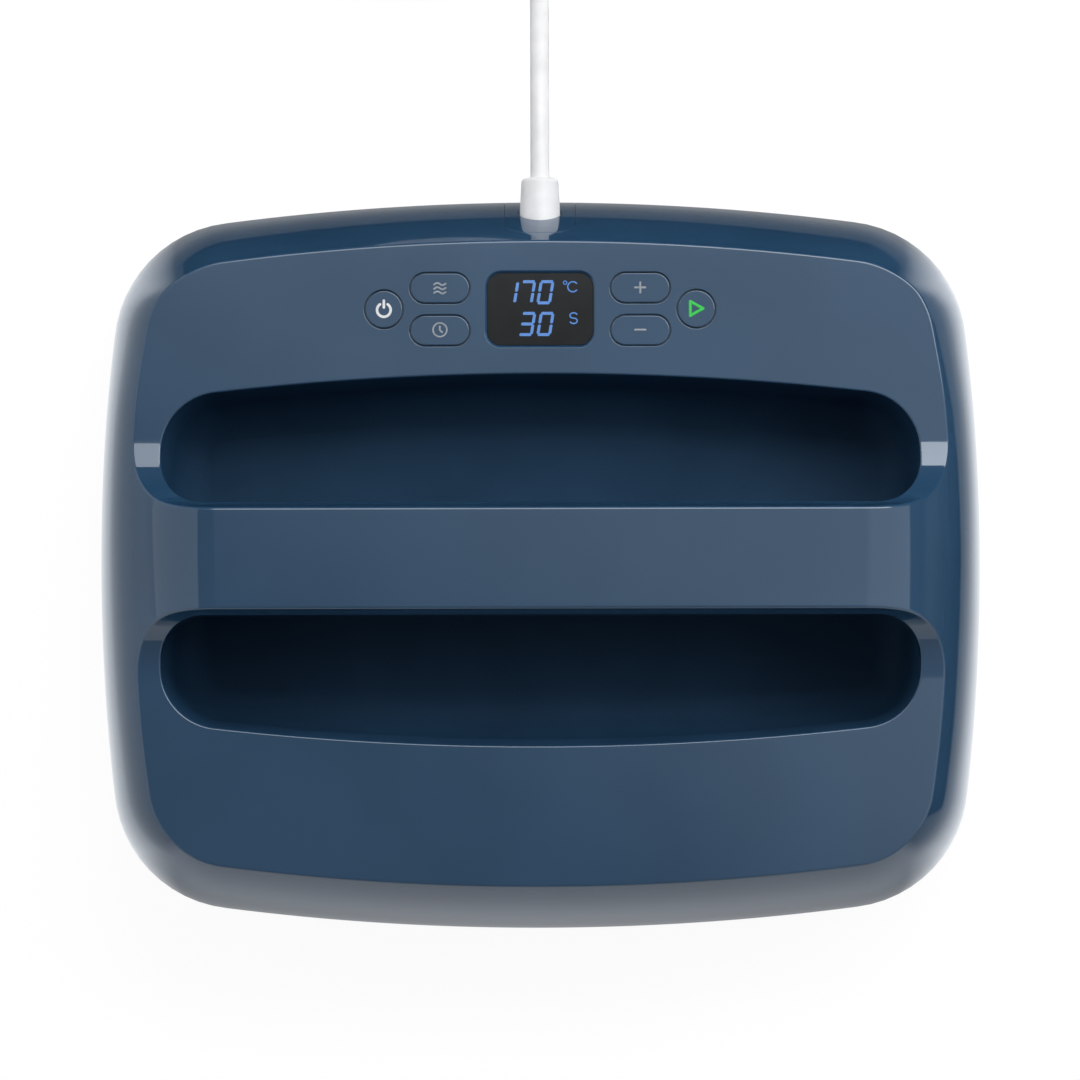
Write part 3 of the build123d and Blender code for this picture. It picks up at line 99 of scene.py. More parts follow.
def add(tree, kind, inputs=None, **settings):
    """Add a node, set its properties, and set or link its inputs."""
    made = tree.nodes.new(kind)
    for name, value in settings.items():
        setattr(made, name, value)
    for name, value in (inputs or {}).items():
        if isinstance(value, bpy.types.NodeSocket):
            tree.links.new(value, made.inputs[name])
        else:
            made.inputs[name].default_value = value
    return made


def new_material(name):
    """An empty material's node tree and its output node."""
    material = bpy.data.materials.new(name)
    material.use_nodes = True
    tree = material.node_tree
    tree.nodes.clear()
    return material, tree, add(tree, "ShaderNodeOutputMaterial")


def ramp(node, stops):
    """Set a colour ramp's stops from pairs of place and linear colour."""
    band = node.color_ramp
    while len(band.elements) < len(stops):
        band.elements.new(1.0)
    for element, (place, colour) in zip(band.elements, stops):
        element.position = place
        element.color = colour


def per_mm(size_mm):
    """Texture scale for a pattern whose cells are this many millimetres across."""
    return 1.0 / (size_mm * MM)

# %% [markdown]
# The lead is white PVC: a flexible plastic jacket, extruded, so it is smooth along its length with a soft
# sheen and a very faint waviness. The colour stays just under white so that its shading still shows.

# %% White PVC
white_pvc, tree, out = new_material("white_pvc_jacket")
place = add(tree, "ShaderNodeTexCoord").outputs["Object"]
haze = add(tree, "ShaderNodeTexNoise", {"Vector": place, "Scale": per_mm(9.0), "Detail": 3.0})
tint = add(tree, "ShaderNodeValToRGB", {"Fac": haze.outputs["Fac"]})
ramp(tint, [(0.3, linear("#e6e7e8")), (0.7, linear("#f1f1f2"))])
skin = add(tree, "ShaderNodeTexNoise", {"Vector": place, "Scale": per_mm(0.7), "Detail": 2.0})
bump = add(tree, "ShaderNodeBump", {"Height": skin.outputs["Fac"], "Strength": 0.12, "Distance": 0.05 * MM})
shine = add(tree, "ShaderNodeMapRange", {"Value": haze.outputs["Fac"], "To Min": 0.34, "To Max": 0.46})
pvc = add(tree, "ShaderNodeBsdfPrincipled", {
    "Base Color": tint.outputs["Color"], "Roughness": shine.outputs["Result"],
    "Normal": bump.outputs["Normal"], "IOR": 1.53, "Subsurface Weight": 0.08,
    "Subsurface Radius": (0.004, 0.004, 0.004), "Subsurface Scale": 0.4})
tree.links.new(pvc.outputs["BSDF"], out.inputs["Surface"])
print("made", white_pvc.name)

# %% [markdown]
# Pieces that repeat, or that follow a line, are made with Geometry Nodes: a tree is a rule with named
# sizes, and it can be run again on other points. Three helpers start a tree, close it and keep what it
# makes as a plain mesh.

# %% Tree helpers
def new_rule(name, sizes):
    """A geometry tree with named sizes and a material as inputs, its input sockets and its output node."""
    tree = bpy.data.node_groups.new(name, "GeometryNodeTree")
    tree.interface.new_socket("Geometry", in_out="INPUT", socket_type="NodeSocketGeometry")
    for size in sizes:
        tree.interface.new_socket(size, in_out="INPUT", socket_type="NodeSocketFloat")
    tree.interface.new_socket("Material", in_out="INPUT", socket_type="NodeSocketMaterial")
    tree.interface.new_socket("Geometry", in_out="OUTPUT", socket_type="NodeSocketGeometry")
    return tree, add(tree, "NodeGroupInput").outputs, add(tree, "NodeGroupOutput")


def end_rule(tree, geometry, given, out):
    """Close a tree: make the instances real and give them their material."""
    real = add(tree, "GeometryNodeRealizeInstances", {"Geometry": geometry})
    done = add(tree, "GeometryNodeSetMaterial", {"Geometry": real.outputs[0], "Material": given["Material"]})
    tree.links.new(done.outputs[0], out.inputs[0])


def follow_rule(name, mesh, tree, **values):
    """Run a tree on a mesh of points or lines, and keep what it makes as a plain mesh object."""
    source = new_object(name, mesh)
    modifier = source.modifiers.new(tree.name, "NODES")
    modifier.node_group = tree
    for item in tree.interface.items_tree:
        if item.in_out == "INPUT" and item.name in values:
            modifier[item.identifier] = values[item.name]
    graph = bpy.context.evaluated_depsgraph_get()
    made = bpy.data.meshes.new_from_object(source.evaluated_get(graph), depsgraph=graph)
    bpy.data.objects.remove(source)
    made.name = name
    print(name, len(made.polygons), "faces")
    return new_object(name, made)

# %% [markdown]
# The plug's grip is ribbed so that fingers don't slip when it is pulled out of the socket. On the real
# plug the ribs are moulded in one shot with the grip. Here each rib is a ring, set by the tree on a row
# of points along the plug's axis, so their number and pitch follow from the grip's length.

# %% Plug grip ribs
GRIP_START, GRIP_LENGTH = -124.843, 28.0
GRIP_RADIUS, RIB_HEIGHT = 12.0, 0.55
PLUG_Y, PLUG_Z = 316.477, 13.0
RIB_PITCH, RIB_MARGIN = 3.2, 4.4
RING_SIDES, BEAD_SIDES = 64, 12

ribs, given, out = new_rule("grip_rings", ["Radius", "Height"])
ring, bead = [
    add(ribs, "GeometryNodeCurvePrimitiveCircle", {"Resolution": sides, "Radius": given[size]}, mode="RADIUS")
    for sides, size in ((RING_SIDES, "Radius"), (BEAD_SIDES, "Height"))]
rib = add(ribs, "GeometryNodeCurveToMesh", {"Curve": ring.outputs[0], "Profile Curve": bead.outputs[0]})
row = add(ribs, "GeometryNodeInstanceOnPoints", {
    "Points": given["Geometry"], "Instance": rib.outputs[0], "Rotation": (0.0, math.pi / 2, 0.0)})
end_rule(ribs, row.outputs[0], given, out)

rib_count = int((GRIP_LENGTH - 2 * RIB_MARGIN) / RIB_PITCH) + 1
first_rib = GRIP_START - (GRIP_LENGTH - (rib_count - 1) * RIB_PITCH) / 2
rib_points = bpy.data.meshes.new("rib_points")
rib_points.from_pydata(
    [((first_rib - RIB_PITCH * i) * MM, PLUG_Y * MM, PLUG_Z * MM) for i in range(rib_count)], [], [])
plug_ribs = follow_rule(
    "plug_grip_ribs", rib_points, ribs, Radius=GRIP_RADIUS * MM, Height=RIB_HEIGHT * MM, Material=white_pvc)
plug_ribs.data.polygons.foreach_set("use_smooth", [True] * len(plug_ribs.data.polygons))
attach(plug_ribs, "press_body")

# %% [markdown]
# The mains lead leaves the strain relief at the rear, sags to the table and is put away in a tied coil of
# four layers. It is one NURBS curve: the first points are the route out of the gland, the last ones the
# run to the plug, and the coil's points between them come from the winding rule, twelve to a turn,
# spiralling in, dropping a layer and spiralling out again. A quadratic spline runs a little inside points
# set on a circle, so the winding radius is grown to make up for that.

# %% Lead route
CORD_DIAMETER = 7.0 * MM
POINTS_PER_QUARTER = 3
COIL_CENTRE = Vector((-45.0, 273.377))
COIL_STEP = 1.9
LAYER_DROP = 7.6
LAYER_QUARTERS = (5, 5, 5, 4)
COIL_START_RADIUS = 45.0
COIL_START_HEIGHT = 27.55
SPLINE_GROWTH = 1.0 / (0.75 + 0.25 * math.cos(math.radians(90 / POINTS_PER_QUARTER)))

exit_run = [
    (0.0, 142.377, 58.0), (0.0, 166.377, 58.0), (0.0, 195.377, 46.73),
    (0.0, 224.377, 33.34), (0.0, 248.377, 27.55), (0.0, 266.377, 27.55),
]
plug_run = [
    (-52.0, 316.477, 4.75), (-67.0, 316.477, 4.75), (-95.84, 316.477, 13.0), (-110.843, 316.477, 13.0),
]

quarters = [(COIL_START_RADIUS, COIL_START_HEIGHT)]
radius, height, inward = COIL_START_RADIUS, COIL_START_HEIGHT, -1
for layer, count in enumerate(LAYER_QUARTERS):
    for _ in range(count):
        radius += inward * COIL_STEP
        quarters.append((radius, height))
    if layer + 1 < len(LAYER_QUARTERS):
        for turn in (inward, -inward):
            radius += turn * COIL_STEP
            height -= LAYER_DROP / 2
            quarters.append((radius, height))
        inward = -inward

coil_run = []
for number, ((r0, z0), (r1, z1)) in enumerate(zip(quarters, quarters[1:])):
    for part in range(POINTS_PER_QUARTER):
        share = part / POINTS_PER_QUARTER
        angle = math.radians(90 * (number + share))
        reach = (r0 + (r1 - r0) * share) * SPLINE_GROWTH
        coil_run.append((
            COIL_CENTRE.x + reach * math.cos(angle), COIL_CENTRE.y + reach * math.sin(angle),
            z0 + (z1 - z0) * share))
end_radius, end_height = quarters[-1]
coil_run.append((COIL_CENTRE.x, COIL_CENTRE.y + end_radius, end_height))
print("coil of", (len(quarters) - 1) / 4, "turns on", len(coil_run), "points")

# %% [markdown]
# A real lead could be swept from a mesh circle, but a bevelled curve stays round in every bend and keeps
# its route editable.

# %% Lead curve
BEND_STEPS, ROUND_STEPS = 6, 5
route = exit_run + coil_run + plug_run
line = bpy.data.curves.new("mains_lead", "CURVE")
line.dimensions = "3D"
spline = line.splines.new("NURBS")
spline.points.add(len(route) - 1)
for point, (x, y, z) in zip(spline.points, route):
    point.co = (x * MM, y * MM, z * MM, 1.0)
spline.order_u = 3
spline.use_endpoint_u = True
spline.resolution_u = BEND_STEPS
line.bevel_depth = CORD_DIAMETER / 2
line.bevel_resolution = ROUND_STEPS
line.use_fill_caps = True
line.materials.append(white_pvc)
lead = new_object("mains_lead", line)
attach(lead, "press_body")
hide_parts("mains_cord", "cord_coil", "cord_tail")
print("lead through", len(route), "points")

# %% [markdown]
# The top shell is one glossy moulding: walls that bulge like a pillow, a handle across the middle and two
# panels. Its reflections give it away, so the shape has to be smooth everywhere. A box could be
# subdivided and sculpted, but every surface here follows a rule: the outline is eight tangent arcs, the
# wall is the same two arcs all round, and the handle, its ramps and the panels are one profile pulled
# along X. So the mesh is laid out on those rules, in millimetres, and each corner gets the exact normal
# of its surface.

# %% Outline rule
BODY_WIDTH, BODY_DEPTH = 330.0, 273.0
SIDE_BOW, END_BOW, CORNER = 752.0, 922.0, 47.5


def outline_stretches():
    """The outline, anticlockwise from the middle of the front: centre, radius, start, end, length so far."""
    end_y, side_x = BODY_DEPTH / 2 - END_BOW, BODY_WIDTH / 2 - SIDE_BOW
    to_end, to_side = END_BOW - CORNER, SIDE_BOW - CORNER
    apart = math.hypot(side_x, end_y)
    along = (to_end**2 - to_side**2 + apart**2) / (2 * apart)
    across = math.sqrt(to_end**2 - along**2)
    corner_x = (side_x * along - end_y * across) / apart
    corner_y = end_y - (end_y * along + side_x * across) / apart
    side = math.atan2(corner_y, corner_x - side_x)
    end = math.atan2(corner_y - end_y, corner_x)
    turn = math.pi
    arcs = [
        ((0, -end_y), END_BOW, -turn / 2, -end),
        ((corner_x, -corner_y), CORNER, -end, -side),
        ((side_x, 0), SIDE_BOW, -side, side),
        ((corner_x, corner_y), CORNER, side, end),
        ((0, end_y), END_BOW, end, turn - end),
        ((-corner_x, corner_y), CORNER, turn - end, turn - side),
        ((-side_x, 0), SIDE_BOW, turn - side, turn + side),
        ((-corner_x, -corner_y), CORNER, turn + side, turn + end),
        ((0, -end_y), END_BOW, turn + end, 1.5 * turn),
    ]
    stretches, so_far = [], 0.0
    for centre, radius, start, stop in arcs:
        stretches.append((centre, radius, start, stop, so_far))
        so_far += radius * (stop - start)
    return stretches, so_far


STRETCHES, PERIMETER = outline_stretches()
RIGHT_SIDE = STRETCHES[2]
print("outline", round(PERIMETER), "mm round")

# %% [markdown]
# Seen in section, the wall leaves the parting line upright, so that the mould can open, and leans in more
# and more until a tighter arc rolls it over into the handle's top. Two tangent arcs give that. The
# lengths round the outline and up the section unroll the wall into a flat sheet, on which it is filled
# with triangles later.

# %% Wall rule
SEAM_HEIGHT, SHELL_BOTTOM, HANDLE_TOP, PANEL_HEIGHT = 24.0, 24.3, 105.0, 83.0
SHOULDER_RADIUS, SHOULDER_INSET = 30.0, 48.0
SHOULDER_HEIGHT = HANDLE_TOP - SHOULDER_RADIUS
WALL_RADIUS = (SHOULDER_INSET**2 + (SHOULDER_HEIGHT - SEAM_HEIGHT) ** 2 - SHOULDER_RADIUS**2) / (
    2 * (SHOULDER_INSET - SHOULDER_RADIUS))
JOIN = math.atan2(SHOULDER_HEIGHT - SEAM_HEIGHT, WALL_RADIUS - SHOULDER_INSET)


def wall_turn(height):
    """The angle up the wall's section at a height."""
    turn = math.asin((height - SEAM_HEIGHT) / WALL_RADIUS)
    return turn if turn <= JOIN else math.asin((height - SHOULDER_HEIGHT) / SHOULDER_RADIUS)


def wall_place(turn):
    """Inset from the outline and height at an angle up the section."""
    if turn <= JOIN:
        return WALL_RADIUS * (1 - math.cos(turn)), SEAM_HEIGHT + WALL_RADIUS * math.sin(turn)
    inset = SHOULDER_INSET - SHOULDER_RADIUS * math.cos(turn)
    return inset, SHOULDER_HEIGHT + SHOULDER_RADIUS * math.sin(turn)


def wall_length(turn):
    """Length up the section to an angle."""
    return WALL_RADIUS * min(turn, JOIN) + SHOULDER_RADIUS * max(turn - JOIN, 0.0)


def on_wall(along, up):
    """Place and normal on the wall, by the length round the outline and the length up the section."""
    (cx, cy), radius, start, _, so_far = next(s for s in reversed(STRETCHES) if along >= s[4] - 1e-9)
    angle = start + (along - so_far) / radius
    join_up = WALL_RADIUS * JOIN
    turn = up / WALL_RADIUS if up <= join_up else JOIN + (up - join_up) / SHOULDER_RADIUS
    inset, height = wall_place(turn)
    out_x, out_y = math.cos(angle), math.sin(angle)
    reach = radius - inset
    normal = (out_x * math.cos(turn), out_y * math.cos(turn), math.sin(turn))
    return (cx + out_x * reach, cy + out_y * reach, height), normal


def wall_coordinates(point):
    """The lengths round and up for a point near the wall."""
    x, y, z = point
    for (cx, cy), radius, start, stop, so_far in STRETCHES:
        inset = radius - math.hypot(x - cx, y - cy)
        angle = math.atan2(y - cy, x - cx)
        angle += 2 * math.pi * (angle < start - 1e-6)
        if angle <= stop + 1e-6 and abs(inset) < SHOULDER_INSET + 1:
            turn = math.atan2(z - SEAM_HEIGHT, WALL_RADIUS - inset)
            if turn > JOIN:
                turn = math.atan2(z - SHOULDER_HEIGHT, SHOULDER_INSET - inset)
            return so_far + radius * (angle - start), wall_length(turn)
    raise ValueError(f"no stretch of the outline holds {point}")


print("wall of radius", round(WALL_RADIUS, 1), "mm, shoulder from", round(math.degrees(JOIN), 1), "degrees")

# %% [markdown]
# Behind the handle a hollow ramp of one radius drops to the flat panel with the controls, and in front
# lies its mirror image. X and the length down from the handle's edge unroll this surface too.

# %% Panel rule
HANDLE_HALF, RAMP_RADIUS = 18.5, 26.0
RAMP_CENTRE = PANEL_HEIGHT + RAMP_RADIUS
RAMP_START = math.asin((RAMP_CENTRE - HANDLE_TOP) / RAMP_RADIUS)
RAMP_FOOT = HANDLE_HALF + RAMP_RADIUS * math.cos(RAMP_START)
RAMP_LENGTH = RAMP_RADIUS * (math.pi / 2 - RAMP_START)


def on_panel(x, down):
    """Place and normal behind the handle, by the length from its top edge down ramp and panel."""
    if down < RAMP_LENGTH:
        turn = RAMP_START + down / RAMP_RADIUS
        cos, sin = math.cos(turn), math.sin(turn)
        return (x, RAMP_FOOT - RAMP_RADIUS * cos, RAMP_CENTRE - RAMP_RADIUS * sin), (0.0, cos, sin)
    return (x, RAMP_FOOT + down - RAMP_LENGTH, PANEL_HEIGHT), (0.0, 0.0, 1.0)


def panel_down(y, z):
    """The length down the profile at a point of it."""
    if y >= RAMP_FOOT:
        return RAMP_LENGTH + y - RAMP_FOOT
    return RAMP_RADIUS * (math.atan2(RAMP_CENTRE - z, RAMP_FOOT - y) - RAMP_START)


def panel_height(y):
    """The profile's height at a distance behind the handle."""
    return RAMP_CENTRE - math.sqrt(RAMP_RADIUS**2 - max(RAMP_FOOT - y, 0.0) ** 2)


print("ramp", round(RAMP_LENGTH, 1), "mm long, its foot at", round(RAMP_FOOT, 1), "mm")

# %% [markdown]
# One edge runs all round each panel: along the handle, down over its shoulder, round the foot of the ramp
# and along the crease of the wall. On the real moulding it has a small radius that catches the light as a
# thin line. The edge is walked point by point, with the normals of the surfaces on both sides. Only the
# right half is worked out, and mirrored.

# %% Panel edge walk
WALK, WALK_TURN = 2.5, math.radians(3)
SHOULDER_WALK_END = 100.0


def spaced(start, stop, step):
    """Evenly spaced values, without the last one."""
    count = max(1, math.ceil(abs(stop - start) / step))
    return [start + (stop - start) * i / count for i in range(count)]


def mirrored_loop(half):
    """A closed loop from its right half, which starts and ends on the middle line."""
    flip = np.array((-1.0, 1.0, 1.0))
    left = [tuple(v * flip for v in entry) for entry in reversed(half[1:-1])]
    return [np.array(column) for column in zip(*(half + left))]


def panel_edge():
    """The edge behind the handle, from its right half: places, wall-side and panel-side normals."""
    half = []
    (cx, _), radius, _, side_end, _ = RIGHT_SIDE
    up = np.array((0.0, 0.0, 1.0))

    def add_on_wall(y, z, inner):
        turn = wall_turn(z)
        inset, _ = wall_place(turn)
        x = cx + math.sqrt((radius - inset) ** 2 - y**2)
        angle = math.atan2(y, x - cx)
        outer = (math.cos(angle) * math.cos(turn), math.sin(angle) * math.cos(turn), math.sin(turn))
        half.append((np.array((x, y, z)), np.array(outer), inner))

    shoulder_x = cx + math.sqrt((radius - SHOULDER_INSET) ** 2 - HANDLE_HALF**2)
    _, ramp_top = on_panel(0.0, 0.0)
    for x in spaced(0.0, shoulder_x, WALK):
        half.append((np.array((x, HANDLE_HALF, HANDLE_TOP)), up, np.array(ramp_top)))
    heights = [wall_place(turn)[1] for turn in spaced(math.pi / 2, wall_turn(SHOULDER_WALK_END), WALK_TURN)]
    ramp_turn = math.asin((RAMP_CENTRE - SHOULDER_WALK_END) / RAMP_RADIUS)
    ramp_turns = spaced(ramp_turn, math.pi / 2, WALK_TURN)
    heights += [RAMP_CENTRE - RAMP_RADIUS * math.sin(turn) for turn in ramp_turns]
    for z in heights:
        turn = math.asin((RAMP_CENTRE - z) / RAMP_RADIUS)
        (_, y, z), inner = on_panel(0.0, RAMP_RADIUS * (turn - RAMP_START))
        add_on_wall(y, min(z, HANDLE_TOP), np.array(inner))
    crease_inset, _ = wall_place(wall_turn(PANEL_HEIGHT))
    foot = math.asin(RAMP_FOOT / (radius - crease_inset))
    level = wall_length(wall_turn(PANEL_HEIGHT))
    stops = [(2, foot, side_end), (3, *STRETCHES[3][2:4]), (4, STRETCHES[4][2], math.pi / 2)]
    for number, start, stop in stops:
        _, radius, first, _, so_far = STRETCHES[number]
        for angle in spaced(start, stop, WALK / radius):
            place, outer = on_wall(so_far + radius * (angle - first), level)
            half.append((np.array(place), np.array(outer), up))
    place, outer = on_wall(PERIMETER / 2, level)
    half.append((np.array(place), np.array(outer), up))
    return mirrored_loop(half)


print("panel edge of", len(panel_edge()[0]), "points")

# %% [markdown]
# The hand openings are cut through panel and ramp. Seen from above, each is a straight line along the
# handle, two small corners, and a shallow arc on the far side. The same walk is made along it: every
# point lies on the panel's profile, and the wall that drops into the opening is upright.

# %% Opening edge walk
NEAR_STEP, FAR_STEP = 1.0, 1.2
OPENING_HALF, OPENING_NEAR, OPENING_FAR, OPENING_FAR_RADIUS = 139.0, 20.5, 68.1, 1060.0
NEAR_CORNER, FAR_CORNER = 16.15, 21.92


def arc_points(cx, cy, radius, start, stop, step=WALK):
    """Points along an arc of a plan, with the direction to its middle, without the last."""
    ways = [(math.cos(angle), math.sin(angle)) for angle in spaced(start, stop, step / radius)]
    return [((cx + radius * x, cy + radius * y), (-x, -y)) for x, y in ways]


def opening_edge():
    """A hand opening's edge, from its right half: places, normals of the panel and of the wall below."""
    far_y = OPENING_FAR - OPENING_FAR_RADIUS
    near_x, near_y = OPENING_HALF - NEAR_CORNER, OPENING_NEAR + NEAR_CORNER
    corner_x = OPENING_HALF - FAR_CORNER
    corner_y = far_y + math.sqrt((OPENING_FAR_RADIUS - FAR_CORNER) ** 2 - corner_x**2)
    meet = math.atan2(corner_y - far_y, corner_x)
    plan = [((x, OPENING_NEAR), (0.0, 1.0)) for x in spaced(0.0, near_x, WALK)]
    plan += arc_points(near_x, near_y, NEAR_CORNER, -math.pi / 2, 0.0, NEAR_STEP)
    plan += [((OPENING_HALF, near_y), (-1.0, 0.0))]
    plan += arc_points(corner_x, corner_y, FAR_CORNER, 0.0, meet, FAR_STEP)
    plan += arc_points(0.0, far_y, OPENING_FAR_RADIUS, meet, math.pi / 2)
    plan += [((0.0, far_y + OPENING_FAR_RADIUS), (0.0, -1.0))]
    half = []
    for (x, y), (nx, ny) in plan:
        z = panel_height(y)
        _, normal = on_panel(x, panel_down(y, z))
        half.append((np.array((x, y, z)), np.array(normal), np.array((nx, ny, 0.0))))
    return mirrored_loop(half)


print("opening edge of", len(opening_edge()[0]), "points")

# %% [markdown]
# A Bevel modifier could round both edges, but it would have to guess the normals. Here the two surfaces
# are known, so a general rule is exact: step back from the edge on each surface, and turn an arc from one
# normal to the other.

# %% Rounded edges
EDGE_RADIUS, OPENING_EDGE_RADIUS = 1.2, 0.7
ROUND_ROWS = 5


def rounded(loop, first, second, radius):
    """Where the round of an edge leaves its two surfaces, and its rows of points and normals between."""
    along = np.roll(loop, -1, axis=0) - np.roll(loop, 1, axis=0)
    steps = []
    for own, other in ((first, second), (second, first)):
        step = np.cross(along, own)
        step /= np.linalg.norm(step, axis=1)[:, None]
        step *= -np.sign((step * other).sum(axis=1))[:, None]
        steps.append(step)
    bend = np.arccos(np.clip((first * second).sum(axis=1), -1, 1))[:, None]
    back = radius * np.tan(bend / 2)
    centre = loop + steps[0] * back - first * radius
    rows = []
    for row in range(1, ROUND_ROWS):
        share = row / ROUND_ROWS
        normal = (np.sin((1 - share) * bend) * first + np.sin(share * bend) * second) / np.sin(bend)
        rows.append((centre + normal * radius, normal))
    return loop + steps[0] * back, loop + steps[1] * back, rows


print("edges rounded to", EDGE_RADIUS, "and", OPENING_EDGE_RADIUS, "mm")

# %% [markdown]
# The rear wall of the photographed shell leans a little further in at its top than the wall rule gives,
# and beside the hand openings the side walls lean less. Both could be pulled with a soft brush in sculpt
# mode. A formula is used, because it also gives the slopes of the shift, and with them the normals stay
# exact: each shift grows with height by an eased step, and dies out towards the openings and the corners.
# All lengths are in millimetres.

# %% Leaning walls
REAR_LEAN, LEAN_START, LEAN_END = 2.5, 106.0, 119.5
REAR_SPREAD, FRONT_SPREAD, SPREAD_FALL = 2.7, 1.0, 0.6
SPREAD_EDGE, SPREAD_CHANGE, SPREAD_FADE = (157.5, 164.5), (-45.0, 45.0), (52.0, 106.0)
STEEPEST = math.radians(80)


def eased(value, start, stop):
    """A smooth step between two values, and its slope."""
    share = np.clip((value - start) / (stop - start), 0.0, 1.0)
    return share**2 * (3 - 2 * share), 6 * share * (1 - share) / (stop - start)


def shifted(points, normals, axis, shift, slopes):
    """Points moved along one axis, and their new normals, from the shift's slopes along x, y and z."""
    moved = points.copy()
    moved[:, axis] += shift
    slopes = np.column_stack(slopes)
    turned = normals - slopes * (normals[:, axis] / (1 + slopes[:, axis]))[:, None]
    return moved, turned / np.linalg.norm(turned, axis=1)[:, None]


def lean_rear(points, normals):
    """Lean the top of the rear wall forward."""
    x, y, z = points.T
    back, back_slope = eased(y + x**2 / (2 * END_BOW), LEAN_START, LEAN_END)
    up, up_slope = eased(z, SEAM_HEIGHT, PANEL_HEIGHT)
    slopes = (back_slope * up * x / END_BOW, back_slope * up, back * up_slope)
    return shifted(points, normals, 1, -REAR_LEAN * back * up, [-REAR_LEAN * slope for slope in slopes])


def spread_sides(points, normals):
    """Move the tops of the side walls outwards, most of all beside the rear scoop."""
    x, y, z = points.T
    side = np.sign(x)
    turns = np.array([wall_turn(height) for height in np.clip(z, SEAM_HEIGHT, HANDLE_TOP)])
    insets = np.array([wall_place(turn)[0] for turn in turns])
    out, out_slope = eased(np.abs(x) + y**2 / (2 * SIDE_BOW) + insets, *SPREAD_EDGE)
    rise, rise_slope = eased(z, SEAM_HEIGHT, PANEL_HEIGHT)
    fall, fall_slope = eased(z, PANEL_HEIGHT, HANDLE_TOP)
    left = 1 - SPREAD_FALL * fall
    up = rise * left
    up_slope = rise_slope * left - rise * SPREAD_FALL * fall_slope
    rear, rear_slope = eased(y, *SPREAD_CHANGE)
    fade, fade_slope = eased(np.abs(y), *SPREAD_FADE)
    more = REAR_SPREAD - FRONT_SPREAD
    most = FRONT_SPREAD + more * rear
    along = most * (1 - fade)
    along_slope = more * rear_slope * (1 - fade) - most * fade_slope * np.sign(y)
    steep = np.tan(np.minimum(turns, STEEPEST))
    slopes = (
        side * along * out_slope * up,
        along_slope * out * up + along * out_slope * up * y / SIDE_BOW,
        along * (out * up_slope + out_slope * steep * up))
    return shifted(points, normals, 0, side * along * out * up, [side * slope for slope in slopes])


print("rear wall leans in by", REAR_LEAN, "mm, side walls out by", REAR_SPREAD, "and", FRONT_SPREAD, "mm")

# %% [markdown]
# A small builder collects the mesh. Neighbouring surfaces are stitched by rows of corners that both of
# them use, and the surfaces with odd outlines are filled by Blender's constrained Delaunay triangulation,
# on the unrolled surface. Last, the skin gets its wall: every corner is copied inwards along its normal,
# and each free rim is closed.

# %% Skin builder
FREE_MARGIN = 1.2


def inside(points, borders):
    """Which points lie inside the first border and outside the others."""
    result = np.zeros(len(points), dtype=bool)
    for border in borders:
        x0, y0 = border.T
        x1, y1 = np.roll(border, -1, axis=0).T
        px, py = points[:, 0][:, None], points[:, 1][:, None]
        cross = (y0 > py) != (y1 > py)
        with np.errstate(divide="ignore", invalid="ignore"):
            reach = x0 + (py - y0) * (x1 - x0) / (y1 - y0)
        odd = (cross & (px < reach)).sum(axis=1) % 2 == 1
        result ^= odd
    return result


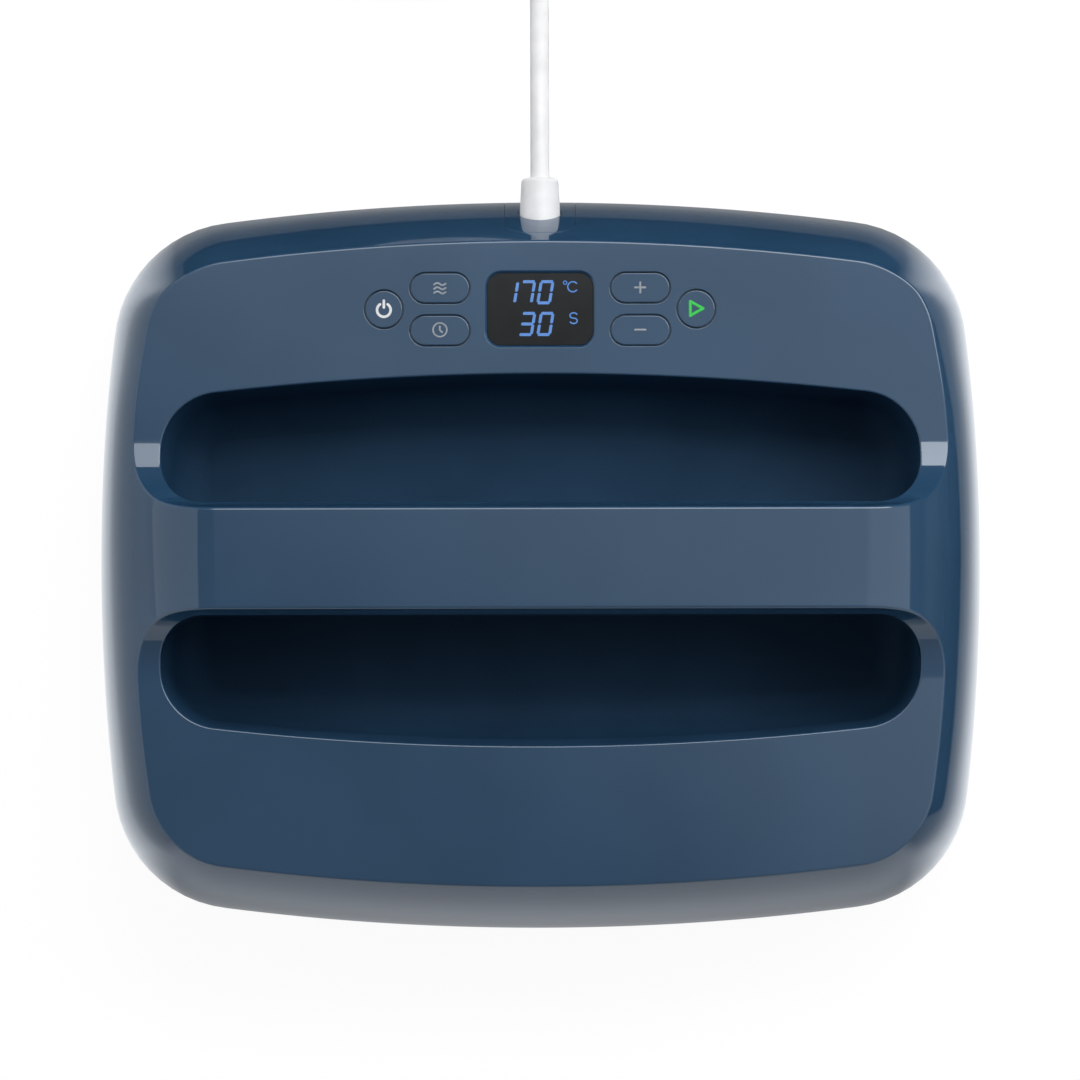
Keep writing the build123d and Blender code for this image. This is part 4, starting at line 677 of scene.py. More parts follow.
class Skin:
    """Corners with their normals, and the faces between them."""

    def __init__(self):
        self.points, self.normals, self.faces = [], [], []

    def corner(self, point, normal):
        """Add a corner and give back its number."""
        self.points.append(tuple(point))
        self.normals.append(tuple(normal))
        return len(self.points) - 1

    def row(self, points, normals):
        """Add a row of corners and give back their numbers."""
        return [self.corner(p, n) for p, n in zip(points, normals)]

    def strip(self, first, second, closed=True):
        """Quads between two rows of corners."""
        for i in range(len(first) if closed else len(first) - 1):
            j = (i + 1) % len(first)
            self.faces.append((first[i], first[j], second[j], second[i]))

    def fill(self, outer, holes, free, place):
        """Triangles inside an outline: loops are (u, v, corner) lists, free holds (u, v) points inside."""
        spots, edges, corners, borders = [], [], [], []
        for loop in (outer, *holes):
            start = len(spots)
            spots += [(u, v) for u, v, _ in loop]
            corners += [c for _, _, c in loop]
            edges += [(start + i, start + (i + 1) % len(loop)) for i in range(len(loop))]
            borders.append(np.array([(u, v) for u, v, _ in loop]))
        free = np.array(free, dtype=float).reshape(-1, 2)
        if len(free):
            near = np.min(np.linalg.norm(free[:, None] - np.concatenate(borders)[None], axis=2), axis=1)
            free = free[(near > FREE_MARGIN) & inside(free, borders)]
        spots += [tuple(p) for p in free]
        vectors = [Vector(p) for p in spots]
        _, _, triangles, origins = delaunay_2d_cdt(vectors, edges, [], 0, 1e-7)[:4]
        if any(not origin for origin in origins):
            raise ValueError("a border of the filled surface crosses itself")
        source = [min(origin) for origin in origins]
        corners += [self.corner(*place(u, v)) for u, v in spots[len(corners):]]
        middles = np.array([np.mean([spots[source[i]] for i in t], axis=0) for t in triangles])
        for triangle, kept in zip(triangles, inside(middles, borders)):
            if kept:
                self.faces.append(tuple(corners[source[i]] for i in triangle))

    def face_outwards(self):
        """Turn each face to the side that its corners' normals point to."""
        points, normals = np.array(self.points), np.array(self.normals)
        for number, face in enumerate(self.faces):
            a, b, c = points[face[0]], points[face[1]], points[face[-1]]
            if np.dot(np.cross(b - a, c - a), normals[list(face)].sum(axis=0)) < 0:
                self.faces[number] = face[::-1]

    def to_mesh(self, name, wall):
        """A closed wall of this thickness as a mesh in metres, with the exact normals."""
        self.face_outwards()
        points, normals = spread_sides(*lean_rear(np.array(self.points), np.array(self.normals)))
        count = len(points)
        used = dict.fromkeys((a, b) for face in self.faces for a, b in zip(face, face[1:] + face[:1]))
        rims = [(b, a, a + count, b + count) for a, b in used if (b, a) not in used]
        inner = [tuple(i + count for i in face[::-1]) for face in self.faces]
        mesh = bpy.data.meshes.new(name)
        everywhere = np.concatenate([points, points - normals * wall]) * MM
        mesh.from_pydata(everywhere.tolist(), [], self.faces + inner + rims)
        loops = [normals[i] for face in self.faces for i in face]
        loops += [-normals[i - count] for face in inner for i in face]
        for polygon in list(mesh.polygons)[len(self.faces) + len(inner):]:
            loops += [polygon.normal.copy()] * polygon.loop_total
        mesh.polygons.foreach_set("use_smooth", [True] * len(mesh.polygons))
        mesh.normals_split_custom_set([tuple(n) for n in loops])
        print(name, len(mesh.vertices), "corners,", len(rims), "rim faces")
        return mesh

# %% [markdown]
# The openings in the panel are drawn as plan loops: a round or a long-round for a button, a rounded
# window for the display. A short list of steps, each an offset and a height, turns the rim over into the
# hole.

# %% Panel holes
CONTROLS_Y = 91.9
SHELL_WALL = 2.6
CAP_GAP = 0.4
ROUND_RADIUS, ROUND_X = 6.85, 57.3
PILL_LENGTH, PILL_WIDTH, PILL_X, PILL_RISE = 21.6, 10.9, 36.75, 7.8
WINDOW_WIDTH, WINDOW_DEPTH, WINDOW_CORNER, WINDOW_BEVEL = 38.8, 26.6, 5.1, 0.9
QUARTER_STEPS = 12
BUTTONS = {
    "power": (-ROUND_X, CONTROLS_Y), "start": (ROUND_X, CONTROLS_Y),
    "temperature": (-PILL_X, CONTROLS_Y + PILL_RISE), "timer": (-PILL_X, CONTROLS_Y - PILL_RISE),
    "plus": (PILL_X, CONTROLS_Y + PILL_RISE), "minus": (PILL_X, CONTROLS_Y - PILL_RISE),
}


def rounded_plan(centre, width, depth, radius, grow):
    """Corner-rounded rectangle grown by an amount: points and outward directions, anticlockwise."""
    points, outward = [], []
    for quarter, (sx, sy) in enumerate(((1, 1), (-1, 1), (-1, -1), (1, -1))):
        cx = centre[0] + sx * (width / 2 - radius)
        cy = centre[1] + sy * (depth / 2 - radius)
        for step in range(QUARTER_STEPS + 1):
            angle = math.pi / 2 * (quarter + step / QUARTER_STEPS)
            direction = np.array((math.cos(angle), math.sin(angle)))
            points.append(np.array((cx, cy)) + direction * (radius + grow))
            outward.append(direction)
    keep = [i for i in range(len(points)) if np.linalg.norm(points[i] - points[i - 1]) > 1e-6]
    return [points[i] for i in keep], [outward[i] for i in keep]


def button_plan(name, grow):
    """The outline of a button's cap, grown."""
    if name in ("power", "start"):
        return rounded_plan(BUTTONS[name], 2 * ROUND_RADIUS, 2 * ROUND_RADIUS, ROUND_RADIUS, grow)
    return rounded_plan(BUTTONS[name], PILL_LENGTH, PILL_WIDTH, PILL_WIDTH / 2, grow)


def window_plan(grow):
    """The outline of the display's window, grown."""
    return rounded_plan((0.0, CONTROLS_Y), WINDOW_WIDTH, WINDOW_DEPTH, WINDOW_CORNER, grow)


def rim_steps(radius, bottom):
    """Steps over a rounded rim and down: offset, height, and the normal's share outwards and up."""
    steps = []
    for row in range(ROUND_ROWS + 1):
        angle = math.pi / 2 * (1 - row / ROUND_ROWS)
        steps.append((
            radius * (1 - math.cos(angle)), PANEL_HEIGHT - radius * (1 - math.sin(angle)),
            -math.cos(angle), math.sin(angle)))
    return steps + [(0.0, bottom, -1.0, 0.0)]


def cut_hole(skin, plan, steps):
    """Build the rim of a hole and give back its top row for the panel's filling."""
    rows = []
    for offset, height, out, up in steps:
        points, outward = plan(offset)
        rows.append(skin.row(
            [(x, y, height) for x, y in points], [(dx * out, dy * out, up) for dx, dy in outward]))
    for first, second in zip(rows, rows[1:]):
        skin.strip(first, second)
    points, _ = plan(steps[0][0])
    return [(x, panel_down(y, PANEL_HEIGHT), corner) for (x, y), corner in zip(points, rows[0])]


print("holes for", ", ".join(BUTTONS), "and the display")

# %% [markdown]
# The rear wall has a small separate cover round the strain relief, clipped in before the lead is clamped.
# Its outline shows as a fine line with a bright lower lip, so both the slot in the shell and the cover
# get a tiny rounded rim. The rim is walked on the wall itself and sunk along the wall's normal.

# %% Cord exit rims
COVER_WIDTH, COVER_TOP, COVER_CORNER, COVER_GAP = 26.5, 77.0, 8.0, 0.1
COVER_RIM = 0.15
RIM_TURN, RIM_STEP = math.radians(7.5), 3.5
GLAND_HOLE, GLAND_HEIGHT = 8.05, 58.0


def rear_coordinates(x, z):
    """Lengths round and up for a place on the rear wall, seen from behind."""
    _, radius, start, _, so_far = STRETCHES[4]
    turn = wall_turn(z)
    angle = math.acos(x / (radius - wall_place(turn)[0]))
    return so_far + radius * (angle - start), wall_length(turn)


def cover_path(grow):
    """The cover's outline seen from behind, grown, from the seam on the right to the seam on the left."""
    half, top, corner = COVER_WIDTH / 2 + grow, COVER_TOP + grow, COVER_CORNER + grow
    right = [(half, z) for z in spaced(SHELL_BOTTOM, top - corner, RIM_STEP)]
    bend = arc_points(half - corner, top - corner, corner, 0.0, math.pi / 2, RIM_TURN * corner)
    right += [point for point, _ in bend]
    right += [(x, top) for x in spaced(half - corner, 0.0, WALK)]
    return right + [(0.0, top)] + [(-x, z) for x, z in reversed(right)]


def gland_path(grow):
    """The hole for the strain relief, grown."""
    radius = GLAND_HOLE + grow
    return [point for point, _ in arc_points(0.0, GLAND_HEIGHT, radius, 0.0, 2 * math.pi, RIM_TURN * radius)]


def wall_rim(skin, path, base, side, depth, closed):
    """Rounded rim along a path on the rear wall, with the material on its outside (1) or inside (-1)."""
    rows, top_row = [], None
    angles = [math.pi / 2 * (1 - row / ROUND_ROWS) for row in range(ROUND_ROWS + 1)]
    steps = [(COVER_RIM * (1 - math.cos(a)), COVER_RIM * (1 - math.sin(a)), a) for a in angles]
    steps.append((0.0, depth, 0.0))
    for back, sink, angle in steps:
        points, normals = [], []
        places = [rear_coordinates(x, z) for x, z in path(base + side * back)]
        ahead = [rear_coordinates(x, z) for x, z in path(base + side * (back - COVER_RIM))]
        for spot, beyond in zip(places, ahead):
            point, normal = (np.array(v) for v in on_wall(*spot))
            toward = np.array(on_wall(*beyond)[0]) - point
            toward -= normal * np.dot(toward, normal)
            toward /= np.linalg.norm(toward)
            points.append(point - normal * sink)
            normals.append(normal * math.sin(angle) + toward * math.cos(angle))
        rows.append(skin.row(points, normals))
        top_row = top_row or places
    for first, second in zip(rows, rows[1:]):
        skin.strip(first, second, closed)
    return [(*spot, corner) for spot, corner in zip(top_row, rows[0])]


print("cover rim of", len(cover_path(0.0)), "points, gland hole of", len(gland_path(0.0)))

# %% [markdown]
# Now the panels are built: the rounded edge between wall and panel, the rounded lip of the hand opening,
# the rims of the buttons and the display's bevelled window, and the panel's skin between them. The front
# panel is the rear one without holes, mirrored, so one function makes both.

# %% Shell surfaces
LIP_BOTTOM = 78.0
RAMP_ROWS, PANEL_REACH, PANEL_STEP = 18, 150.0, 5.0
BEVEL_FLAT, BEVEL_TURN = 0.12, 0.08
HOLE_EDGE_RADIUS = 0.3
HOLE_BOTTOM = PANEL_HEIGHT - SHELL_WALL
SKIN_WALL = 2.0

shell = Skin()
edge, edge_wall, edge_panel = panel_edge()
to_wall, to_panel, edge_rows = rounded(edge, edge_wall, edge_panel, EDGE_RADIUS)
lip, lip_panel, lip_wall = opening_edge()
lip_out, lip_in, lip_rows = rounded(lip, lip_panel, lip_wall, OPENING_EDGE_RADIUS)
straight = np.isclose(edge[:, 1], HANDLE_HALF) & np.isclose(edge[:, 2], HANDLE_TOP)
straight &= np.abs(edge[:, 0]) < np.abs(edge[straight, 0]).max() - 1e-6

wall_spots = [None if flat else wall_coordinates(p) for flat, p in zip(straight, to_wall)]
wall_ends = [
    (tuple(p), (0.0, 0.0, 1.0)) if spot is None else on_wall(*spot) for p, spot in zip(to_wall, wall_spots)]
panel_spots = [(x, panel_down(y, z)) for x, y, z in to_panel]
panel_ends = [on_panel(*spot) for spot in panel_spots]
lip_spots = [(x, panel_down(y, z)) for x, y, z in lip_out]
lip_ends = [on_panel(*spot) for spot in lip_spots]


def add_rows(ends, rows, last, flip):
    """Strips from one surface's end row over a round to the other's, and both end rows."""
    made = [shell.row(np.array([p for p, _ in ends]) * flip, np.array([n for _, n in ends]) * flip)]
    made += [shell.row(points * flip, normals * flip) for points, normals in rows]
    made.append(shell.row(np.array([p for p, _ in last]) * flip, np.array([n for _, n in last]) * flip))
    for first, second in zip(made, made[1:]):
        shell.strip(first, second)
    return made[0], made[-1]


def add_panel(side, holes):
    """One panel with its ramp, hand opening and rounded edges; gives back the row on the wall's side."""
    flip = np.array((1.0, side, 1.0))
    wall_row, panel_row = add_rows(wall_ends, edge_rows, panel_ends, flip)
    drop = [(tuple(p), tuple(n)) for p, n in zip(lip_in, lip_wall)]
    lip_row, drop_row = add_rows(lip_ends, lip_rows, drop, flip)
    foot = np.column_stack([lip_in[:, :2], np.full(len(lip), LIP_BOTTOM)])
    shell.strip(drop_row, shell.row(foot * flip, lip_wall * flip))
    outer = [(*spot, corner) for spot, corner in zip(panel_spots, panel_row)]
    hole = [(*spot, corner) for spot, corner in zip(lip_spots, lip_row)]
    downs = [RAMP_LENGTH * i / RAMP_ROWS for i in range(RAMP_ROWS + 1)]
    columns = spaced(-PANEL_REACH, PANEL_REACH, PANEL_STEP) + [PANEL_REACH]
    free = [(x, down) for x in columns for down in downs]
    shell.fill(outer, [hole, *holes], free, lambda x, down: [np.array(v) * flip for v in on_panel(x, down)])
    return wall_row


button_rim = rim_steps(HOLE_EDGE_RADIUS, HOLE_BOTTOM)
panel_holes = [
    cut_hole(shell, lambda grow, n=name: button_plan(n, CAP_GAP + grow), button_rim) for name in BUTTONS]
slope = math.sqrt(0.5)
window_rim = [
    (WINDOW_BEVEL + BEVEL_FLAT, PANEL_HEIGHT, 0.0, 1.0),
    (WINDOW_BEVEL - BEVEL_TURN, PANEL_HEIGHT - BEVEL_TURN, -slope, slope),
    (BEVEL_TURN, PANEL_HEIGHT - WINDOW_BEVEL + BEVEL_TURN, -slope, slope),
    (0.0, PANEL_HEIGHT - WINDOW_BEVEL - BEVEL_FLAT, -1.0, 0.0),
    (0.0, HOLE_BOTTOM, -1.0, 0.0)]
panel_holes.append(cut_hole(shell, window_plan, window_rim))
rear_row = add_panel(1.0, panel_holes)
front_row = add_panel(-1.0, [])
print("panels done,", len(shell.faces), "faces")

# %% [markdown]
# The wall is one surface all round, so it is filled in one go on its unrolled sheet: round the outline in
# one direction and up the section in the other. It is cut open at the middle of the front, where both
# ends share a column of corners. The handle's top is flat and closes the skin.

# %% Shell wall and handle top
END_STEP, COLUMN_STEP, FOOT_STEP = 3.0, 6.0, 5.0
WALL_START, WALL_STEP = 3.0, 5.5

top_up = wall_length(math.pi / 2)
bottom_up = wall_length(wall_turn(SHELL_BOTTOM))
middle = len(edge) // 2
first_right = int(np.argmax(~straight))
last_left = len(edge) - first_right
half_along = wall_spots[first_right][0] - PERIMETER / 4
end_places = spaced(-half_along, half_along, END_STEP)[1:]
right_end = [(PERIMETER / 4 + a, top_up) for a in end_places]
left_end = [(3 * PERIMETER / 4 + a, top_up) for a in end_places]
right_corners = [shell.corner(*on_wall(*spot)) for spot in right_end]
left_corners = [shell.corner(*on_wall(*spot)) for spot in left_end]


def front_line(whole, numbers):
    """Places and corners along the front panel's edge, which mirrors the rear one."""
    return [(whole - wall_spots[i][0], wall_spots[i][1], front_row[i]) for i in numbers]


def wall_foot(skin, places):
    """New corners along the lower edge of the wall."""
    return [(a, bottom_up, skin.corner(*on_wall(a, bottom_up))) for a in places]


top_line = front_line(PERIMETER / 2, range(middle, first_right - 1, -1))
top_line += [(*spot, corner) for spot, corner in zip(right_end, right_corners)]
top_line += [(*wall_spots[i], rear_row[i]) for i in range(first_right, last_left + 1)]
top_line += [(*spot, corner) for spot, corner in zip(left_end, left_corners)]
top_line += front_line(1.5 * PERIMETER, range(last_left, middle - 1, -1))

notch = wall_rim(shell, cover_path, 0.0, 1, SHELL_WALL, False)
column_ups = spaced(bottom_up, top_line[0][1], COLUMN_STEP)
column = [shell.corner(*on_wall(0.0, up)) for up in column_ups]
border = [(0.0, bottom_up, column[0])]
border += wall_foot(shell, spaced(0.0, notch[0][0], FOOT_STEP)[1:]) + notch
border += wall_foot(shell, spaced(notch[-1][0], PERIMETER, FOOT_STEP)[1:])
border += [(PERIMETER, up, corner) for up, corner in zip(column_ups, column)]
border += top_line[::-1]
border += [(0.0, up, corner) for up, corner in zip(column_ups[:0:-1], column[:0:-1])]
rows_up = np.arange(bottom_up + WALL_STEP, top_up, WALL_STEP)
free = [(a, up) for a in np.arange(WALL_START, PERIMETER, WALL_STEP) for up in rows_up]
shell.fill(border, [], free, on_wall)

ring = rear_row[first_right::-1] + rear_row[:last_left - 1:-1] + left_corners
ring += front_row[last_left:] + front_row[:first_right + 1] + right_corners
handle_line = [(*shell.points[corner][:2], corner) for corner in ring]
shell.fill(handle_line, [], [], lambda x, y: ((x, y, HANDLE_TOP), (0.0, 0.0, 1.0)))
top_shell = new_object("glossy_top_shell", shell.to_mesh("glossy_top_shell", SKIN_WALL))
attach(top_shell, "press_body")
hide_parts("top_shell")

# %% [markdown]
# The cover fills the notch with a hair's gap. It is the same wall surface, so it takes the same builder
# and the same rim, turned to its own side, with a round hole for the strain relief.

# %% Cord exit cover
COVER_STEP = 3.0

cover = Skin()
rim = wall_rim(cover, cover_path, -COVER_GAP, -1, SHELL_WALL, False)
bore = wall_rim(cover, gland_path, 0.0, 1, SHELL_WALL, True)
border = rim + wall_foot(cover, spaced(rim[-1][0], rim[0][0], COVER_STEP)[1:])
rows_up = np.arange(bottom_up + COVER_STEP, top_up, COVER_STEP)
free = [(a, up) for a in np.arange(rim[0][0], rim[-1][0], COVER_STEP) for up in rows_up]
cover.fill(border, [bore], free, on_wall)
exit_cover = new_object("glossy_exit_cover", cover.to_mesh("glossy_exit_cover", SKIN_WALL))
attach(exit_cover, "press_body")
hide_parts("cord_exit_cover")

# %% [markdown]
# Most pieces are moulded plastic, and what tells one from another is colour, gloss and the grain that the
# mould leaves. So one function paints them all: a tone that drifts a little, as pigment does, a grain
# with a real size and depth, and a gloss that varies with it. The shell is polished and has a clear hard
# surface that doubles its reflections. The liner of the hand openings has the same blue, made a little
# darker as painted shade for the openings, with a spark-eroded grain, which looks satin and hides
# scratches.

# %% Moulded plastics
def moulded(name, dark, light, grain_mm, depth_mm, gloss, cloud_mm=30.0, coat=0.0, speckle=0.0, mirror=0.5):
    """A plastic whose tone drifts between two colours, with the grain of its mould in millimetres."""
    material, tree, out = new_material(name)
    place = add(tree, "ShaderNodeTexCoord").outputs["Object"]
    cloud = add(tree, "ShaderNodeTexNoise", {"Vector": place, "Scale": per_mm(cloud_mm), "Detail": 2.0})
    grain = add(tree, "ShaderNodeTexNoise", {"Vector": place, "Scale": per_mm(grain_mm), "Detail": 3.0})
    drift = add(tree, "ShaderNodeMix", {0: speckle, 2: cloud.outputs["Fac"], 3: grain.outputs["Fac"]})
    tint = add(tree, "ShaderNodeValToRGB", {"Fac": drift.outputs[0]})
    ramp(tint, [(0.35, linear(dark)), (0.65, linear(light))])
    bump = add(tree, "ShaderNodeBump", {"Height": grain.outputs["Fac"], "Distance": depth_mm * MM})
    shine = add(tree, "ShaderNodeMapRange", {
        "Value": drift.outputs[0], "To Min": gloss[0], "To Max": gloss[1]})
    shader = add(tree, "ShaderNodeBsdfPrincipled", {
        "Base Color": tint.outputs["Color"], "Roughness": shine.outputs["Result"],
        "Normal": bump.outputs["Normal"], "Specular IOR Level": mirror, "Coat Weight": coat,
        "Coat Roughness": 0.02})
    tree.links.new(shader.outputs["BSDF"], out.inputs["Surface"])
    return material


# Polished ABS: a deep blue that mirrors the room, with the faintest orange peel.
glossy_blue = moulded("glossy_blue_abs", "#254562", "#294a68", 6.0, 0.0005, (0.06, 0.1), 60.0, coat=1.0)
# Grained ABS: the same blue made a little darker as painted shade for the hand openings, broken up by a
# fine grain so that it only glows softly.
satin_blue = moulded(
    "satin_blue_abs", "#1d374f", "#25415c", 0.45, 0.02, (0.5, 0.64), 40.0, speckle=0.5, mirror=0.08)
# Glass-filled nylon: black, slightly cloudy, with a coarse dry grain.
black_nylon = moulded("black_nylon", "#17181a", "#232426", 0.5, 0.03, (0.45, 0.6), 14.0, speckle=0.4)
# Green polyamide of the terminal block: semi-matt, a little translucent looking.
green_nylon = moulded("green_polyamide", "#1f6b34", "#2a7d40", 0.4, 0.015, (0.35, 0.5), 9.0, speckle=0.3)
# Silicone sleeving of the inner wires: grey, soft sheen, dusty with talc.
wire_sleeve = moulded("grey_silicone_sleeve", "#85878a", "#999b9e", 0.8, 0.02, (0.4, 0.58), 7.0, speckle=0.4)
# Steatite: fired white ceramic with sandy specks.
steatite = moulded("steatite_ceramic", "#d3cabb", "#e9e3d8", 0.3, 0.02, (0.3, 0.5), 5.0, speckle=0.7)
# Blue printed sleeve of the capacitor: shrunk film, glossy with fine ripples.
shrink_film = moulded("blue_shrink_film", "#1d2f4b", "#263b5a", 1.6, 0.05, (0.2, 0.32), 8.0)
# Epoxy of the relay and the triac: black, slightly pitted.
epoxy = moulded("black_epoxy", "#1c1b1b", "#2a2928", 0.9, 0.04, (0.38, 0.55), 6.0, speckle=0.6)
print("plastics:", glossy_blue.name, satin_blue.name)

# %% [markdown]
# The metals are told apart by how they were worked. Zinc-plated screws and sheet are bright with a fine
# irregular frost, the plate is sand-cast aluminium with a dark non-stick coat on its sole, and the pins
# are nickel, drawn lengthwise. One function stretches the grain along the working direction.

# %% Metals
def worked_metal(name, dark, light, grain_mm, depth_mm, gloss, stretch=(1.0, 1.0, 1.0)):
    """A bare metal with a grain that is drawn out along one direction."""
    material, tree, out = new_material(name)
    place = add(tree, "ShaderNodeTexCoord").outputs["Object"]
    drawn = add(tree, "ShaderNodeMapping", {"Vector": place, "Scale": stretch})
    grain = add(tree, "ShaderNodeTexNoise", {
        "Vector": drawn.outputs[0], "Scale": per_mm(grain_mm), "Detail": 4.0, "Roughness": 0.65})
    tint = add(tree, "ShaderNodeValToRGB", {"Fac": grain.outputs["Fac"]})
    ramp(tint, [(0.3, linear(dark)), (0.7, linear(light))])
    bump = add(tree, "ShaderNodeBump", {"Height": grain.outputs["Fac"], "Distance": depth_mm * MM})
    shine = add(tree, "ShaderNodeMapRange", {
        "Value": grain.outputs["Fac"], "To Min": gloss[0], "To Max": gloss[1]})
    shader = add(tree, "ShaderNodeBsdfPrincipled", {
        "Base Color": tint.outputs["Color"], "Metallic": 1.0, "Roughness": shine.outputs["Result"],
        "Normal": bump.outputs["Normal"]})
    tree.links.new(shader.outputs["BSDF"], out.inputs["Surface"])
    return material


# Zinc-plated steel: cool silver with a fine frost and a hint of yellow passivation.
zinc_steel = worked_metal("zinc_plated_steel", "#a9a89f", "#c9cacb", 0.6, 0.006, (0.22, 0.42))
# Aluminised sheet: brushed along X when it was rolled.
rolled_sheet = worked_metal(
    "aluminised_sheet", "#aeb0b2", "#d0d2d4", 1.2, 0.01, (0.28, 0.46), (0.08, 1.0, 1.0))
# Nickel of the pins: warm, bright, drawn along the pin.
nickel = worked_metal("nickel_plating", "#b8b2a6", "#d6d1c8", 0.5, 0.003, (0.14, 0.26), (0.1, 1.0, 1.0))
# The heater's tube: steel that has gone straw and brown with heat.
tempered = worked_metal("heat_tinted_tube", "#6d5f53", "#a59a8c", 3.5, 0.008, (0.3, 0.5))

# Cast aluminium with a coated sole: pale and pitted above, and below the coating's edge a dark grey
# non-stick with light specks.
COAT_EDGE, COAT_FADE = 6.4, 0.5
cast_plate, tree, out = new_material("coated_cast_aluminium")
place = add(tree, "ShaderNodeTexCoord").outputs["Object"]
height = add(tree, "ShaderNodeSeparateXYZ", {0: place})
sand = add(tree, "ShaderNodeTexNoise", {"Vector": place, "Scale": per_mm(0.9), "Detail": 4.0})
speck = add(tree, "ShaderNodeTexVoronoi", {"Vector": place, "Scale": per_mm(1.4), "Randomness": 1.0})
coat_tint = add(tree, "ShaderNodeValToRGB", {"Fac": speck.outputs["Distance"]})
ramp(coat_tint, [(0.08, linear("#6a6d71")), (0.2, linear("#2d2f32"))])
cast_tint = add(tree, "ShaderNodeValToRGB", {"Fac": sand.outputs["Fac"]})
ramp(cast_tint, [(0.3, linear("#a3a5a8")), (0.7, linear("#c6c8ca"))])
bare = add(tree, "ShaderNodeMapRange", {
    "Value": height.outputs["Z"], "From Min": COAT_EDGE * MM, "From Max": (COAT_EDGE + COAT_FADE) * MM})
tint = add(tree, "ShaderNodeMix", {
    0: bare.outputs[0], 6: coat_tint.outputs["Color"], 7: cast_tint.outputs["Color"]}, data_type="RGBA")
bump = add(tree, "ShaderNodeBump", {"Height": sand.outputs["Fac"], "Strength": 0.7, "Distance": 0.03 * MM})
rough = add(tree, "ShaderNodeMapRange", {"Value": sand.outputs["Fac"], "To Min": 0.32, "To Max": 0.52})
shader = add(tree, "ShaderNodeBsdfPrincipled", {
    "Base Color": tint.outputs[2], "Metallic": bare.outputs[0], "Roughness": rough.outputs[0],
    "Normal": bump.outputs["Normal"]})
tree.links.new(shader.outputs["BSDF"], out.inputs["Surface"])
print("metals:", zinc_steel.name, cast_plate.name)

# %% [markdown]
# The rest of the inside is seen only when the part is taken apart, but each piece still looks like what
# it is: a wool blanket is a tangle of fibres, a circuit board has tracks and solder pads under its green
# lacquer, a ribbon is a row of wires, and the strap round the coil is a woven hook-and-loop tape.

# %% Wool, boards, ribbon and strap
# Mineral wool felt: two layers of long fibres that cross, pale on top and yellowish in the gaps,
# where painted shade also darkens the tone.
wool, tree, out = new_material("mineral_wool_felt")
place = add(tree, "ShaderNodeTexCoord").outputs["Object"]
fibres = []
for bearing in (0.6, -0.9):
    combed = add(tree, "ShaderNodeMapping", {
        "Vector": place, "Rotation": (0.0, 0.0, bearing), "Scale": (0.12, 1.0, 1.0)})
    strands = add(tree, "ShaderNodeTexNoise", {
        "Vector": combed.outputs[0], "Scale": per_mm(0.5), "Detail": 4.0})
    fibres.append(strands.outputs["Fac"])
tangle = add(tree, "ShaderNodeMath", dict(enumerate(fibres)), operation="MAXIMUM")
tint = add(tree, "ShaderNodeValToRGB", {"Fac": tangle.outputs[0]})
ramp(tint, [(0.42, linear("#a89f86")), (0.68, linear("#efe9da"))])
bump = add(tree, "ShaderNodeBump", {"Height": tangle.outputs[0], "Distance": 0.5 * MM})
shader = add(tree, "ShaderNodeBsdfPrincipled", {
    "Base Color": tint.outputs["Color"], "Roughness": 0.95, "Normal": bump.outputs["Normal"],
    "Sheen Weight": 0.3})
tree.links.new(shader.outputs["BSDF"], out.inputs["Surface"])

# Lacquered circuit board: glassy green with lighter tracks and round tinned pads.
board, tree, out = new_material("green_circuit_board")
place = add(tree, "ShaderNodeTexCoord").outputs["Object"]
tracks = add(tree, "ShaderNodeTexBrick", {
    "Vector": place, "Scale": per_mm(12.0), "Mortar Size": 0.05, "Mortar Smooth": 0.1,
    "Brick Width": 0.9, "Row Height": 0.22, "Color1": linear("#0f4a2b"), "Color2": linear("#114f2f"),
    "Mortar": linear("#2c7a4c")})
pads = add(tree, "ShaderNodeTexVoronoi", {"Vector": place, "Scale": per_mm(4.5), "Randomness": 0.4})
solder = add(tree, "ShaderNodeMapRange", {
    "Value": pads.outputs["Distance"], "From Min": 0.13, "From Max": 0.16, "To Min": 1.0, "To Max": 0.0})
tint = add(tree, "ShaderNodeMix", {
    0: solder.outputs[0], 6: tracks.outputs["Color"], 7: linear("#c3c6c8")}, data_type="RGBA")
bump = add(tree, "ShaderNodeBump", {"Height": tracks.outputs["Fac"], "Distance": 0.04 * MM})
shader = add(tree, "ShaderNodeBsdfPrincipled", {
    "Base Color": tint.outputs[2], "Metallic": solder.outputs[0], "Roughness": 0.32,
    "Normal": bump.outputs["Normal"]})
tree.links.new(shader.outputs["BSDF"], out.inputs["Surface"])

# PVC ribbon cable: grey and ridged, one ridge for each wire at the usual pitch of 1.27 mm, and
# painted shade darkens the grooves between the ridges.
ribbon, tree, out = new_material("grey_ribbon_cable")
place = add(tree, "ShaderNodeTexCoord").outputs["Object"]
wires = add(tree, "ShaderNodeTexWave", {"Vector": place, "Scale": per_mm(1.27) / 2}, bands_direction="X")
tint = add(tree, "ShaderNodeValToRGB", {"Fac": wires.outputs["Fac"]})
ramp(tint, [(0.2, linear("#6f7275")), (0.7, linear("#a7aaad"))])
bump = add(tree, "ShaderNodeBump", {"Height": wires.outputs["Fac"], "Distance": 0.3 * MM})
shader = add(tree, "ShaderNodeBsdfPrincipled", {
    "Base Color": tint.outputs["Color"], "Roughness": 0.42, "Normal": bump.outputs["Normal"]})
tree.links.new(shader.outputs["BSDF"], out.inputs["Surface"])
